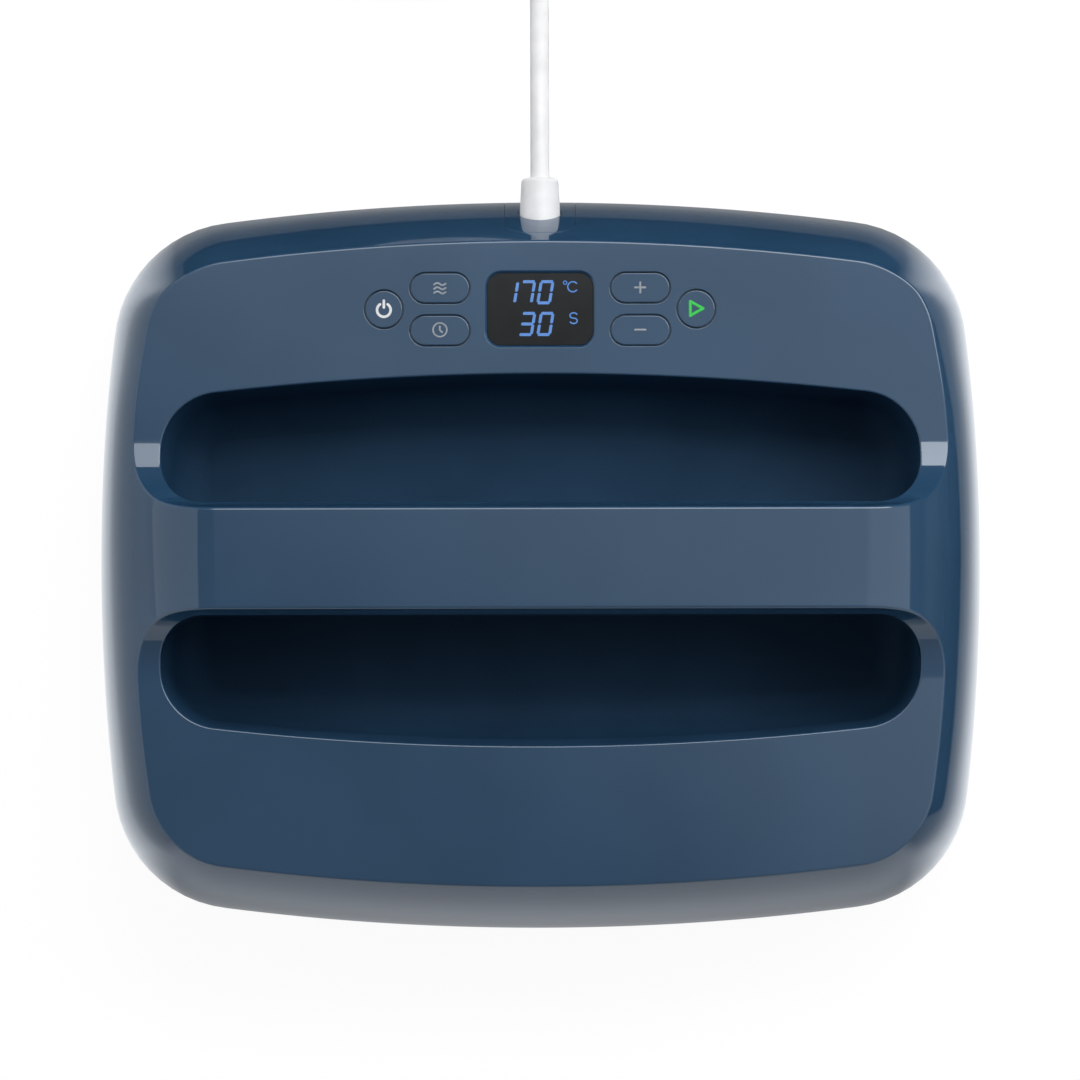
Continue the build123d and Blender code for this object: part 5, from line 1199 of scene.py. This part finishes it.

# Woven nylon strap: black and dull, with threads crossing every 0.9 mm, and painted shade darkens
# the gaps between the threads.
strap, tree, out = new_material("woven_black_strap")
place = add(tree, "ShaderNodeTexCoord").outputs["Object"]
threads = []
for direction in ("X", "Z"):
    thread = add(tree, "ShaderNodeTexWave", {
        "Vector": place, "Scale": per_mm(0.9) / 2, "Distortion": 0.6}, bands_direction=direction)
    threads.append(thread.outputs["Fac"])
weave = add(tree, "ShaderNodeMath", dict(enumerate(threads)), operation="MULTIPLY")
tint = add(tree, "ShaderNodeValToRGB", {"Fac": weave.outputs[0]})
ramp(tint, [(0.1, linear("#101112")), (0.8, linear("#34363a"))])
bump = add(tree, "ShaderNodeBump", {"Height": weave.outputs[0], "Distance": 0.15 * MM})
shader = add(tree, "ShaderNodeBsdfPrincipled", {
    "Base Color": tint.outputs["Color"], "Roughness": 0.85, "Normal": bump.outputs["Normal"],
    "Sheen Weight": 0.4})
tree.links.new(shader.outputs["BSDF"], out.inputs["Surface"])
print("made", wool.name, board.name, ribbon.name, strap.name)

# %% [markdown]
# The display's window is smoked polycarbonate: nearly black, polished, and hard coated. The status lights
# and the glass fuse are clear, so they let light through.

# %% Smoked window and clear parts
# Smoked polycarbonate: a black mirror with a very faint haze.
smoked, tree, out = new_material("smoked_polycarbonate")
place = add(tree, "ShaderNodeTexCoord").outputs["Object"]
haze = add(tree, "ShaderNodeTexNoise", {"Vector": place, "Scale": per_mm(7.0), "Detail": 4.0})
tint = add(tree, "ShaderNodeValToRGB", {"Fac": haze.outputs["Fac"]})
ramp(tint, [(0.3, linear("#0d0d0e")), (0.7, linear("#101011"))])
shine = add(tree, "ShaderNodeMapRange", {"Value": haze.outputs["Fac"], "To Min": 0.1, "To Max": 0.14})
shader = add(tree, "ShaderNodeBsdfPrincipled", {
    "Base Color": tint.outputs["Color"], "Roughness": shine.outputs[0], "Specular IOR Level": 0.4})
tree.links.new(shader.outputs["BSDF"], out.inputs["Surface"])

# Clear glass: almost colourless, a little wavy, as drawn tube is.
clear, tree, out = new_material("clear_glass")
place = add(tree, "ShaderNodeTexCoord").outputs["Object"]
wave = add(tree, "ShaderNodeTexNoise", {"Vector": place, "Scale": per_mm(3.0), "Detail": 2.0})
bump = add(tree, "ShaderNodeBump", {"Height": wave.outputs["Fac"], "Distance": 0.02 * MM})
shader = add(tree, "ShaderNodeBsdfPrincipled", {
    "Base Color": linear("#eef3f1"), "Roughness": 0.06, "Transmission Weight": 0.85, "IOR": 1.5,
    "Normal": bump.outputs["Normal"]})
tree.links.new(shader.outputs["BSDF"], out.inputs["Surface"])

print("made", smoked.name, clear.name)

# %% [markdown]
# All other pieces are shown as the CAD model has them, each painted with the material that it is made of.
# A table of materials and node names does it in one loop, and names the nodes that were forgotten.

# %% Paint the CAD nodes
finishes = {
    glossy_blue: [f"{name}_button" for name in BUTTONS],
    satin_blue: ["grip_basin", "handle_undercover", "lower_housing"],
    smoked: ["display_lens"],
    cast_plate: ["heat_plate"],
    tempered: ["heating_element"],
    rolled_sheet: ["heat_shield", "heat_sink"],
    wool: ["insulation_blanket"],
    steatite: ["ceramic_standoffs"],
    board: ["control_board", "power_board"],
    ribbon: ["board_ribbon"],
    wire_sleeve: ["mains_leads", "element_leads"],
    green_nylon: ["terminal_block"],
    shrink_film: ["capacitor"],
    epoxy: ["relay", "triac", "transformer"],
    clear: ["status_lights", "fuse"],
    nickel: ["plug_pins", "plug_earth_clips"],
    strap: ["cord_tie"],
    white_pvc: ["cord_gland", "inner_cord", "plug_body"],
    zinc_steel: [
        "plate_screws", "shield_screws", "housing_screws", "basin_screws", "handle_screws",
        "control_board_screws", "power_board_screws", "clamp_screws", "temperature_sensor", "thermal_fuse"],
    black_nylon: [
        "tact_switches", "display_module", "buzzer", "cord_clamp", *[f"{name}_plunger" for name in BUTTONS]],
}
painted = set()
for material, names in finishes.items():
    for name in names:
        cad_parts[name].data.materials.clear()
        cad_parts[name].data.materials.append(material)
        painted.add(name)
for piece in (top_shell, exit_cover):
    piece.data.materials.append(glossy_blue)
replaced = {"top_shell", "cord_exit_cover", "mains_cord", "cord_coil", "cord_tail"}
print("unpainted nodes:", sorted(set(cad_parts) - painted - replaced))

# %% [markdown]
# The signs on the buttons are pad printed: a flexible pad carries a thin layer of ink onto the cap, so
# the lines have an even width and round ends. Two of them are windows in the ink that are lit from below,
# and so are the bars of the display. Light could come from lamps under the caps, but an even glow in the
# material shows the same and costs nothing.

# %% Ink and lit signs
def glowing(name, dark, light, strength):
    """A lit window: light that is a little uneven, as behind a diffuser."""
    material, tree, out = new_material(name)
    place = add(tree, "ShaderNodeTexCoord").outputs["Object"]
    spread = add(tree, "ShaderNodeTexNoise", {"Vector": place, "Scale": per_mm(1.5), "Detail": 1.0})
    tint = add(tree, "ShaderNodeValToRGB", {"Fac": spread.outputs["Fac"]})
    ramp(tint, [(0.3, linear(dark)), (0.7, linear(light))])
    shader = add(tree, "ShaderNodeBsdfPrincipled", {
        "Base Color": linear("#202020"), "Roughness": 0.3, "Emission Color": tint.outputs["Color"],
        "Emission Strength": strength})
    tree.links.new(shader.outputs["BSDF"], out.inputs["Surface"])
    return material


# Silver-grey pad ink: matt, with a slightly broken surface.
grey_ink = moulded("silver_grey_ink", "#8f959c", "#a0a6ac", 0.25, 0.004, (0.45, 0.6), 3.0, speckle=0.5)
# Lit white of the power sign, lit green of the start sign, and the blue of the display's segments.
white_glow = glowing("lit_white_sign", "#cfd1d4", "#dcdee0", 1.0)
green_glow = glowing("lit_green_sign", "#1eb63a", "#2ac546", 1.0)
blue_glow = glowing("lit_blue_segments", "#457cc6", "#4e87d2", 1.0)
print("made", grey_ink.name, white_glow.name, green_glow.name, blue_glow.name)

# %% [markdown]
# A Geometry Nodes tree turns any set of lines into such strokes: it sweeps a flat bar along each line and
# puts a disc on its ends. The discs are a little thinner than the bars, so that their tops don't flicker
# where they overlap. The same tree draws the letters of the display.

# %% Stroke tree
DISC_SIDES, DISC_SHARE = 24, 0.9

strokes, given, out = new_rule("printed_strokes", ["Width", "Thickness"])
lines = add(strokes, "GeometryNodeMeshToCurve", {"Mesh": given["Geometry"]})
level = add(strokes, "GeometryNodeSetCurveNormal", {"Curve": lines.outputs[0]}, mode="Z_UP")
bar = add(strokes, "GeometryNodeCurvePrimitiveQuadrilateral", {
    "Width": given["Width"], "Height": given["Thickness"]})
swept = add(strokes, "GeometryNodeCurveToMesh", {
    "Curve": level.outputs[0], "Profile Curve": bar.outputs[0], "Fill Caps": True})
half = add(strokes, "ShaderNodeMath", {0: given["Width"], 1: 0.5}, operation="MULTIPLY")
lower = add(strokes, "ShaderNodeMath", {0: given["Thickness"], 1: DISC_SHARE}, operation="MULTIPLY")
disc = add(strokes, "GeometryNodeMeshCylinder", {
    "Vertices": DISC_SIDES, "Radius": half.outputs[0], "Depth": lower.outputs[0]})
ends = add(strokes, "GeometryNodeCurveEndpointSelection", {"Start Size": 1, "End Size": 1})
dots = add(strokes, "GeometryNodeInstanceOnPoints", {
    "Points": level.outputs[0], "Selection": ends.outputs[0], "Instance": disc.outputs["Mesh"]})
both = add(strokes, "GeometryNodeJoinGeometry")
strokes.links.new(swept.outputs[0], both.inputs[0])
strokes.links.new(dots.outputs[0], both.inputs[0])
end_rule(strokes, both.outputs[0], given, out)
print(strokes.name, len(strokes.nodes), "nodes")

# %% [markdown]
# Each sign is a handful of lines in millimetres from the middle of its cap: arcs, waves and straight
# runs. Text objects could give some of them, but lines keep the exact widths of the print. Every next
# line lies a hair higher, so that crossing strokes don't flicker. The signs ride on their buttons and go
# down with them.

# %% Signs
INK = 0.05
INK_SUNK = 0.01
INK_STEP = 0.008
WAVE_TURNS, WAVE_LEAD = 1.12, 0.06


def arc_line(cx, cy, rx, ry, start, stop, count=40):
    """Points along part of an ellipse, angles in degrees."""
    angles = [math.radians(start + (stop - start) * i / count) for i in range(count + 1)]
    return [(cx + rx * math.cos(a), cy + ry * math.sin(a)) for a in angles]


def wave_line(y, half_width, height, count=32):
    """One slow wave from left to right."""
    shares = [i / count for i in range(count + 1)]
    bends = [math.sin(2 * math.pi * (WAVE_TURNS * share - WAVE_LEAD)) for share in shares]
    return [(half_width * (2 * share - 1), y + height * bend) for share, bend in zip(shares, bends)]


def line_mesh(name, lines, centre, surface):
    """A mesh of separate lines that lie on a surface of this height."""
    points, edges = [], []
    for number, line_points in enumerate(lines):
        start = len(points)
        height = surface + INK / 2 - INK_SUNK + INK_STEP * number
        points += [((x + centre[0]) * MM, (y + centre[1]) * MM, height * MM) for x, y in line_points]
        edges += [(i, i + 1) for i in range(start, len(points) - 1)]
    mesh = bpy.data.meshes.new(name)
    mesh.from_pydata(points, edges, [])
    return mesh


TRIANGLE = [(-2.2, 2.7), (2.45, 0.1), (-2.2, -2.5)]
signs = {
    "power": (white_glow, 0.95, [
        arc_line(0.0, -0.25, 2.5, 2.5, 124, 416), [(0.0, 3.15), (0.0, 0.7)]]),
    "temperature": (grey_ink, 0.64, [wave_line(y, 2.1, 0.4) for y in (1.4, -0.14, -1.68)]),
    "timer": (grey_ink, 0.62, [
        arc_line(0.0, 0.2, 2.52, 2.52, 0, 360, 64),
        [(-0.05, 1.45), (-0.05, 0.1)], [(-0.05, 0.1), (0.8, -0.65)]]),
    "plus": (grey_ink, 0.74, [[(-1.85, 0.05), (1.85, 0.05)], [(0.0, 1.9), (0.0, -1.8)]]),
    "minus": (grey_ink, 0.8, [[(-1.85, 0.08), (1.85, 0.08)]]),
    "start": (green_glow, 1.05, [[a, b] for a, b in zip(TRIANGLE, TRIANGLE[1:] + TRIANGLE[:1])]),
}
for name, (ink, width, lines) in signs.items():
    mesh = line_mesh(f"{name}_lines", lines, BUTTONS[name], PANEL_HEIGHT)
    sign = follow_rule(f"{name}_sign", mesh, strokes, Width=width * MM, Thickness=INK * MM, Material=ink)
    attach(sign, f"{name}_button_body")

# %% [markdown]
# The display shows a temperature and a time in seven-segment figures, slanted as such figures are, each
# segment a bar with pointed ends. Another tree sets one bar on every lit place: its points say which way
# the bar lies, how long it is and which row it belongs to, and the slant leans each row about its own
# middle.

# %% Segment tree
segments, given, out = new_rule("segment_figures", ["Length", "Width", "Thickness", "Slant"])
point_radius = add(segments, "ShaderNodeMath", {0: given["Width"], 1: 1 / math.sqrt(3)}, operation="MULTIPLY")
bar = add(segments, "GeometryNodeMeshCylinder", {
    "Vertices": 6, "Radius": point_radius.outputs[0], "Depth": given["Thickness"]})
spot = add(segments, "ShaderNodeSeparateXYZ", {0: add(segments, "GeometryNodeInputPosition").outputs[0]})
side = add(segments, "ShaderNodeMath", {0: spot.outputs["X"]}, operation="SIGN")
reach = add(segments, "ShaderNodeMath", {0: given["Length"], 1: 0.5}, operation="MULTIPLY")
spare = add(segments, "ShaderNodeMath", {
    0: reach.outputs[0], 1: point_radius.outputs[0]}, operation="SUBTRACT")
pull = add(segments, "ShaderNodeMath", {0: side.outputs[0], 1: spare.outputs[0]}, operation="MULTIPLY")
shift = add(segments, "ShaderNodeCombineXYZ", {"X": pull.outputs[0]})
drawn = add(segments, "GeometryNodeSetPosition", {
    "Geometry": bar.outputs["Mesh"], "Offset": shift.outputs[0]})
turn = add(segments, "GeometryNodeInputNamedAttribute", {"Name": "turn"}, data_type="FLOAT")
about = add(segments, "ShaderNodeCombineXYZ", {"Z": turn.outputs[0]})
stretch = add(segments, "GeometryNodeInputNamedAttribute", {"Name": "stretch"}, data_type="FLOAT")
size = add(segments, "ShaderNodeCombineXYZ", {"X": stretch.outputs[0], "Y": 1.0, "Z": 1.0})
bars = add(segments, "GeometryNodeInstanceOnPoints", {
    "Points": given["Geometry"], "Instance": drawn.outputs[0], "Rotation": about.outputs[0],
    "Scale": size.outputs[0]})
real = add(segments, "GeometryNodeRealizeInstances", {"Geometry": bars.outputs[0]})
place = add(segments, "ShaderNodeSeparateXYZ", {0: add(segments, "GeometryNodeInputPosition").outputs[0]})
row = add(segments, "GeometryNodeInputNamedAttribute", {"Name": "row"}, data_type="FLOAT")
rise = add(segments, "ShaderNodeMath", {0: place.outputs["Y"], 1: row.outputs[0]}, operation="SUBTRACT")
lean = add(segments, "ShaderNodeMath", {0: rise.outputs[0], 1: given["Slant"]}, operation="MULTIPLY")
shear = add(segments, "ShaderNodeCombineXYZ", {"X": lean.outputs[0]})
slanted = add(segments, "GeometryNodeSetPosition", {"Geometry": real.outputs[0], "Offset": shear.outputs[0]})
end_rule(segments, slanted.outputs[0], given, out)
print(segments.name, len(segments.nodes), "nodes")

# %% [markdown]
# Each figure is a list of its lit bars. Their places become points, and what the tree has to know about a
# bar is stored on its point as an attribute. The unit letters and the degree sign are drawn with the
# stroke tree, like the printed signs, but in the display's blue.

# %% Display figures
LENS_TOP = 82.4
FIGURE_HALF_WIDTH, FIGURE_RISE, FIGURE_SLANT = 2.15, 3.9, 0.165
BAR_LENGTH, BAR_WIDTH, UPRIGHT_SHARE = 4.55, 1.08, 0.77
LETTER_WIDTH, DEGREE_WIDTH = 0.5, 0.36
SEGMENTS = {
    "top": (0, 2, 0), "middle": (0, 0, 0), "bottom": (0, -2, 0),
    "upper_left": (-1, 1, 1), "upper_right": (1, 1, 1), "lower_left": (-1, -1, 1), "lower_right": (1, -1, 1),
}
LIT = {
    "0": ["top", "bottom", "upper_left", "upper_right", "lower_left", "lower_right"],
    "1": ["upper_right", "lower_right"],
    "3": ["top", "middle", "bottom", "upper_right", "lower_right"],
    "7": ["top", "upper_right", "lower_right"],
}
UPPER_ROW, LOWER_ROW = 6.2, -5.45
shown = [
    ("1", -10.9, UPPER_ROW), ("7", -4.75, UPPER_ROW), ("0", 1.95, UPPER_ROW),
    ("3", -4.75, LOWER_ROW), ("0", 1.95, LOWER_ROW)]
points, turns, rows, stretches = [], [], [], []
for figure, x, y in shown:
    for name in LIT[figure]:
        across, up, upright = SEGMENTS[name]
        points.append((
            (x + across * FIGURE_HALF_WIDTH) * MM, (CONTROLS_Y + y + up * FIGURE_RISE / 2) * MM,
            (LENS_TOP + INK / 2 - INK_SUNK) * MM))
        turns.append(upright * math.pi / 2)
        rows.append((CONTROLS_Y + y) * MM)
        stretches.append(UPRIGHT_SHARE if upright else 1.0)
figure_points = bpy.data.meshes.new("figure_points")
figure_points.from_pydata(points, [], [])
for title, values in (("turn", turns), ("row", rows), ("stretch", stretches)):
    figure_points.attributes.new(title, "FLOAT", "POINT").data.foreach_set("value", values)
lit_pieces = [follow_rule(
    "display_figures", figure_points, segments, Length=BAR_LENGTH * MM, Width=BAR_WIDTH * MM,
    Thickness=INK * MM, Slant=FIGURE_SLANT, Material=blue_glow)]
letters = [
    arc_line(12.0, 8.2, 1.85, 1.85, 42, 318),
    arc_line(12.28, -2.37, 1.32, 0.98, 28, 270, 24) + arc_line(12.28, -4.33, 1.32, 0.98, 90, -152, 24)[1:]]
small_ring = [arc_line(9.19, 9.72, 0.62, 0.62, 0, 360)]
drawn_signs = {"display_units": (letters, LETTER_WIDTH), "degree_sign": (small_ring, DEGREE_WIDTH)}
for name, (lines, width) in drawn_signs.items():
    mesh = line_mesh(f"{name}_lines", lines, (0.0, CONTROLS_Y), LENS_TOP)
    lit_pieces.append(follow_rule(
        name, mesh, strokes, Width=width * MM, Thickness=INK * MM, Material=blue_glow))
for piece in lit_pieces:
    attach(piece, "press_body")

# %% [markdown]
# The photograph is a catalogue picture: a white table, a white background and large soft lights. The
# table keeps a soft shadow, but is lifted to white for the camera, as such a picture is.

# %% Table
TABLE_HALF = 6.0
TABLE_LIFT = 0.9
TABLE_GLOW = 1.05

table_mesh = bpy.data.meshes.new("white_table")
square = [(x * TABLE_HALF, y * TABLE_HALF) for x, y in ((-1, -1), (1, -1), (1, 1), (-1, 1))]
table_mesh.from_pydata([(x, y, 0.0) for x, y in square], [], [(0, 1, 2, 3)])
new_object("white_table", table_mesh)


def seen_directly(tree):
    """One for rays that come from the camera, a mirror or glass, nought for light that falls on surfaces."""
    path = add(tree, "ShaderNodeLightPath").outputs
    seen = path["Is Camera Ray"]
    for ray in ("Is Glossy Ray", "Is Transmission Ray"):
        seen = add(tree, "ShaderNodeMath", {0: seen, 1: path[ray]}, operation="MAXIMUM").outputs[0]
    return seen


# White laminate: matt, and lifted towards pure white where it is looked at.
laminate, tree, out = new_material("white_table_laminate")
lift = add(tree, "ShaderNodeMath", {0: seen_directly(tree), 1: TABLE_LIFT}, operation="MULTIPLY")
matt = add(tree, "ShaderNodeBsdfDiffuse", {"Color": linear("#f4f4f4")})
white = add(tree, "ShaderNodeEmission", {"Strength": TABLE_GLOW})
mixed = add(tree, "ShaderNodeMixShader", {0: lift.outputs[0], 1: matt.outputs[0], 2: white.outputs[0]})
tree.links.new(mixed.outputs[0], out.inputs["Surface"])
table_mesh.materials.append(laminate)
print("table", 2 * TABLE_HALF, "m wide")

# %% [markdown]
# A polished shell shows the room as much as its own colour. The room is kept apart from the light that
# falls on the object: a tent and a few boards, which only reflections can see, are set where the
# photographed reflections say that they stood. The tent is greyer to the front left and brighter to the
# rear right. A long bright panel hangs behind and above, and low white walls stand on the left and in
# front. The same could be lit with lamps alone, but then a change to a reflection would also change the
# shading.

# %% Reflection tent
TENT_RADIUS = 4.0
TENT_SLOPE, TENT_RANGE, TENT_LEVELS = (2.4, 4.0, 0.0), (-0.17, 0.23), (0.2, 0.6)
RIGHT_RANGE, RIGHT_EXTRA = (0.03, 0.22), 0.28
BAND_SLOPE, BAND_RANGE, BAND_TOP, BAND_LEVEL = (0.0, -0.5, 1.0), (-0.5, 0.37), (0.36, 0.38), 0.18


def only_reflected(name, points, level_of, faces=None):
    """A studio surface that only shows in reflections, with a level from a function of its node tree."""
    mesh = bpy.data.meshes.new(name)
    mesh.from_pydata(points, [], faces or [tuple(range(len(points)))])
    surface = new_object(name, mesh)
    for rays in ("camera", "diffuse", "shadow", "transmission", "volume_scatter"):
        setattr(surface, f"visible_{rays}", False)
    material, tree, out = new_material(name)
    glow = add(tree, "ShaderNodeEmission", {"Color": linear("#f4f9ff"), "Strength": level_of(tree)})
    tree.links.new(glow.outputs[0], out.inputs["Surface"])
    mesh.materials.append(material)


def tent_level(tree):
    """Grey overhead that brightens to the rear right, and a dark band above the horizon."""
    place = add(tree, "ShaderNodeTexCoord").outputs["Object"]
    sight = add(tree, "ShaderNodeVectorMath", {0: place}, operation="NORMALIZE").outputs[0]
    across = add(tree, "ShaderNodeVectorMath", {0: sight, 1: TENT_SLOPE}, operation="DOT_PRODUCT")
    grey = add(tree, "ShaderNodeMapRange", {
        "Value": across.outputs["Value"], "From Min": TENT_RANGE[0], "From Max": TENT_RANGE[1],
        "To Min": TENT_LEVELS[0], "To Max": TENT_LEVELS[1]})
    right = add(tree, "ShaderNodeSeparateXYZ", {0: sight}).outputs["X"]
    side = add(tree, "ShaderNodeMapRange", {
        "Value": right, "From Min": RIGHT_RANGE[0], "From Max": RIGHT_RANGE[1], "To Max": RIGHT_EXTRA})
    over = add(tree, "ShaderNodeMath", {0: grey.outputs[0], 1: side.outputs[0]}, operation="ADD")
    rise = add(tree, "ShaderNodeVectorMath", {0: sight, 1: BAND_SLOPE}, operation="DOT_PRODUCT")
    low = rise.outputs["Value"]
    dim = add(tree, "ShaderNodeMapRange", {
        "Value": low, "From Min": BAND_RANGE[0], "From Max": BAND_RANGE[1], "To Max": BAND_LEVEL})
    above = add(tree, "ShaderNodeMapRange", {"Value": low, "From Min": BAND_TOP[0], "From Max": BAND_TOP[1]})
    share = add(tree, "ShaderNodeMath", {0: dim.outputs[0], 1: above.outputs[0]}, operation="MAXIMUM")
    level = add(tree, "ShaderNodeMath", {0: over.outputs[0], 1: share.outputs[0]}, operation="MULTIPLY")
    return level.outputs[0]


ball = bmesh.new()
bmesh.ops.create_uvsphere(ball, u_segments=48, v_segments=24, radius=TENT_RADIUS)
ball.verts.index_update()
tent_points = [tuple(v.co) for v in ball.verts]
tent_faces = [tuple(v.index for v in reversed(f.verts)) for f in ball.faces]
ball.free()
only_reflected("reflection_tent", tent_points, tent_level, tent_faces)
print("tent of", len(tent_faces), "faces")

# %% [markdown]
# A softbox isn't evenly bright, and the handle shows it: the long panel grows brighter from left to
# right. So a board's level is a function of its node tree too, either the same everywhere or changing
# across it.

# %% Light panel and white walls
LIGHT_LEFT, LIGHT_FULL, LIGHT_LEVELS = -0.35, 0.4, (2.8, 5.0)
WALL_LEVEL = 0.68


def even_level(level):
    """The same level everywhere."""
    return lambda tree: level


def across_level(start, stop, low, high):
    """A level that changes from left to right."""
    def level(tree):
        spot = add(tree, "ShaderNodeSeparateXYZ", {0: add(tree, "ShaderNodeTexCoord").outputs["Object"]})
        return add(tree, "ShaderNodeMapRange", {
            "Value": spot.outputs["X"], "From Min": start, "From Max": stop,
            "To Min": low, "To Max": high}).outputs[0]
    return level


panel = [(x, y, 1.5) for x, y in ((LIGHT_LEFT, 0.27), (1.3, 0.27), (1.3, 1.64), (LIGHT_LEFT, 1.64))]
left_wall = [(-1.0, y, z) for y, z in ((-1.6, 0.0), (1.6, 0.0), (1.6, 1.71), (-1.6, 1.71))]
front_wall = [(x, -1.2, z) for x, z in ((-1.5, 0.0), (1.5, 0.0), (1.5, 0.56), (-1.5, 0.56))]
only_reflected("rear_light_panel", panel, across_level(LIGHT_LEFT, LIGHT_FULL, *LIGHT_LEVELS))
only_reflected("left_white_wall", left_wall, even_level(WALL_LEVEL))
only_reflected("front_white_wall", front_wall, even_level(WALL_LEVEL))
print("one light panel and two walls")

# %% [markdown]
# The side walls look down at the table, so they show how it was lit: grey in the object's own contact
# shade, white on the near left and right, grey further out, and dark behind the edge of the white sheet.
# Two colour ramps, one across and one along the table, are blended at the corners. Millimetres from the
# object's middle are paired with levels.

# %% Reflected table
SIDE_LEVELS = [
    (-460, 0.42), (-262, 0.32), (-232, 0.36), (-218, 0.43), (-206, 0.54), (-198, 0.73), (-180, 0.84),
    (-165, 0.84), (165, 0.93), (182, 0.90), (193, 0.74), (209, 0.43), (228, 0.24), (260, 0.20)]
END_LEVELS = [
    (-460, 0.66), (-250, 0.61), (-190, 0.60), (-169, 0.52), (-150, 0.36), (-137, 0.30),
    (137, 0.27), (148, 0.27), (154, 0.22), (166, 0.14), (180, 0.10), (220, 0.06)]
RAMP_HALF, CORNER_BLEND = 0.5, 0.02
SHEET_HEIGHT, DARK_HEIGHT = 0.3 * MM, 0.6 * MM
DARK_LEVEL, DARK_RANGE, DARK_LEVELS = 0.004, (0.24, 0.55), (0.015, 0.16)
REAR_DARK = [(-0.178, 0.182), (0.275, 0.182), (3.4, 5.0), (-4.2, 5.0)]
RIGHT_DARK = [
    (0.275, 0.182), (0.236, 0.004), (0.229, -0.115), (0.28, -0.165), (3.0, -2.6), (5.0, 0.0), (3.4, 5.0)]


def table_level(tree):
    """The table's level by the nearest side of the object."""
    spot = add(tree, "ShaderNodeSeparateXYZ", {0: add(tree, "ShaderNodeTexCoord").outputs["Object"]}).outputs
    tones, beyond = [], []
    sides = (("X", BODY_WIDTH / 2 * MM, SIDE_LEVELS), ("Y", BODY_DEPTH / 2 * MM, END_LEVELS))
    for axis, edge, levels in sides:
        along = add(tree, "ShaderNodeMapRange", {
            "Value": spot[axis], "From Min": -RAMP_HALF, "From Max": RAMP_HALF})
        tone = add(tree, "ShaderNodeValToRGB", {"Fac": along.outputs[0]})
        ramp(tone, [(RAMP_HALF + place * MM, (level, level, level, 1.0)) for place, level in levels])
        tones.append(tone.outputs["Color"])
        size = add(tree, "ShaderNodeMath", {0: spot[axis]}, operation="ABSOLUTE")
        past = add(tree, "ShaderNodeMath", {0: size.outputs[0], 1: edge}, operation="SUBTRACT")
        beyond.append(past.outputs[0])
    further = add(tree, "ShaderNodeMath", dict(enumerate(beyond)), operation="SUBTRACT")
    side = add(tree, "ShaderNodeMapRange", {
        "Value": further.outputs[0], "From Min": -CORNER_BLEND, "From Max": CORNER_BLEND})
    return add(tree, "ShaderNodeMix", {0: side.outputs[0], 2: tones[1], 3: tones[0]}).outputs[0]


only_reflected("reflected_table", [(x, y, SHEET_HEIGHT) for x, y in square], table_level)
only_reflected("dark_table_behind", [(x, y, DARK_HEIGHT) for x, y in REAR_DARK], even_level(DARK_LEVEL))
only_reflected(
    "dark_table_right", [(x, y, DARK_HEIGHT) for x, y in RIGHT_DARK], across_level(*DARK_RANGE, *DARK_LEVELS))
print("reflected table with", len(SIDE_LEVELS), "and", len(END_LEVELS), "levels")

# %% [markdown]
# The light that falls on the object comes from the same panel behind and above, which leaves the rear of
# each hand opening in shade and lights its front, from a smaller lamp on each side, and from the room's
# walls, which are brighter low down and on the left. The lamps don't show in reflections, because the
# boards above stand for them there.

# %% Room and lamps
ROOM_TOP, ROOM_LEVELS, ROOM_SIDES = 0.7, (0.8, 0.1), (1.5, 0.5)

world = bpy.data.worlds.new("white_room")
bpy.context.scene.world = world
world.use_nodes = True
tree = world.node_tree
tree.nodes.clear()
out = add(tree, "ShaderNodeOutputWorld")
toward = add(tree, "ShaderNodeSeparateXYZ", {0: add(tree, "ShaderNodeTexCoord").outputs["Generated"]})
level = add(tree, "ShaderNodeMapRange", {
    "Value": toward.outputs["Z"], "From Max": ROOM_TOP, "To Min": ROOM_LEVELS[0], "To Max": ROOM_LEVELS[1]})
sided = add(tree, "ShaderNodeMapRange", {
    "Value": toward.outputs["X"], "From Min": -1.0, "To Min": ROOM_SIDES[0], "To Max": ROOM_SIDES[1]})
walls = add(tree, "ShaderNodeMath", {0: level.outputs[0], 1: sided.outputs[0]}, operation="MULTIPLY")
room = add(tree, "ShaderNodeBackground", {"Strength": walls.outputs[0]})
white = add(tree, "ShaderNodeBackground", {"Strength": 1.0})
mixed = add(tree, "ShaderNodeMixShader", {0: seen_directly(tree), 1: room.outputs[0], 2: white.outputs[0]})
tree.links.new(mixed.outputs[0], out.inputs["Surface"])


def lamp(name, place, aim, width, depth, power):
    """A soft rectangular lamp that lights surfaces and does not show in reflections."""
    data = bpy.data.lights.new(name, "AREA")
    data.shape = "RECTANGLE"
    data.size, data.size_y, data.energy = width, depth, power
    light = new_object(name, data)
    light.location = place
    light.rotation_euler = (Vector(aim) - light.location).to_track_quat("-Z", "Y").to_euler()
    light.visible_glossy = False


lamp("rear_panel_light", (0.475, 1.12, 1.5), (0.475, 1.12, 0.0), 1.65, 1.04, 28.0)
lamp("right_side_light", (0.75, 0.15, 0.5), (0.0, 0.0, 0.06), 0.4, 0.4, 2.8)
lamp("left_fill_light", (-0.75, 0.1, 0.4), (0.0, 0.05, 0.06), 0.5, 0.5, 1.3)
print("lamps:", [light.name for light in bpy.data.lights])
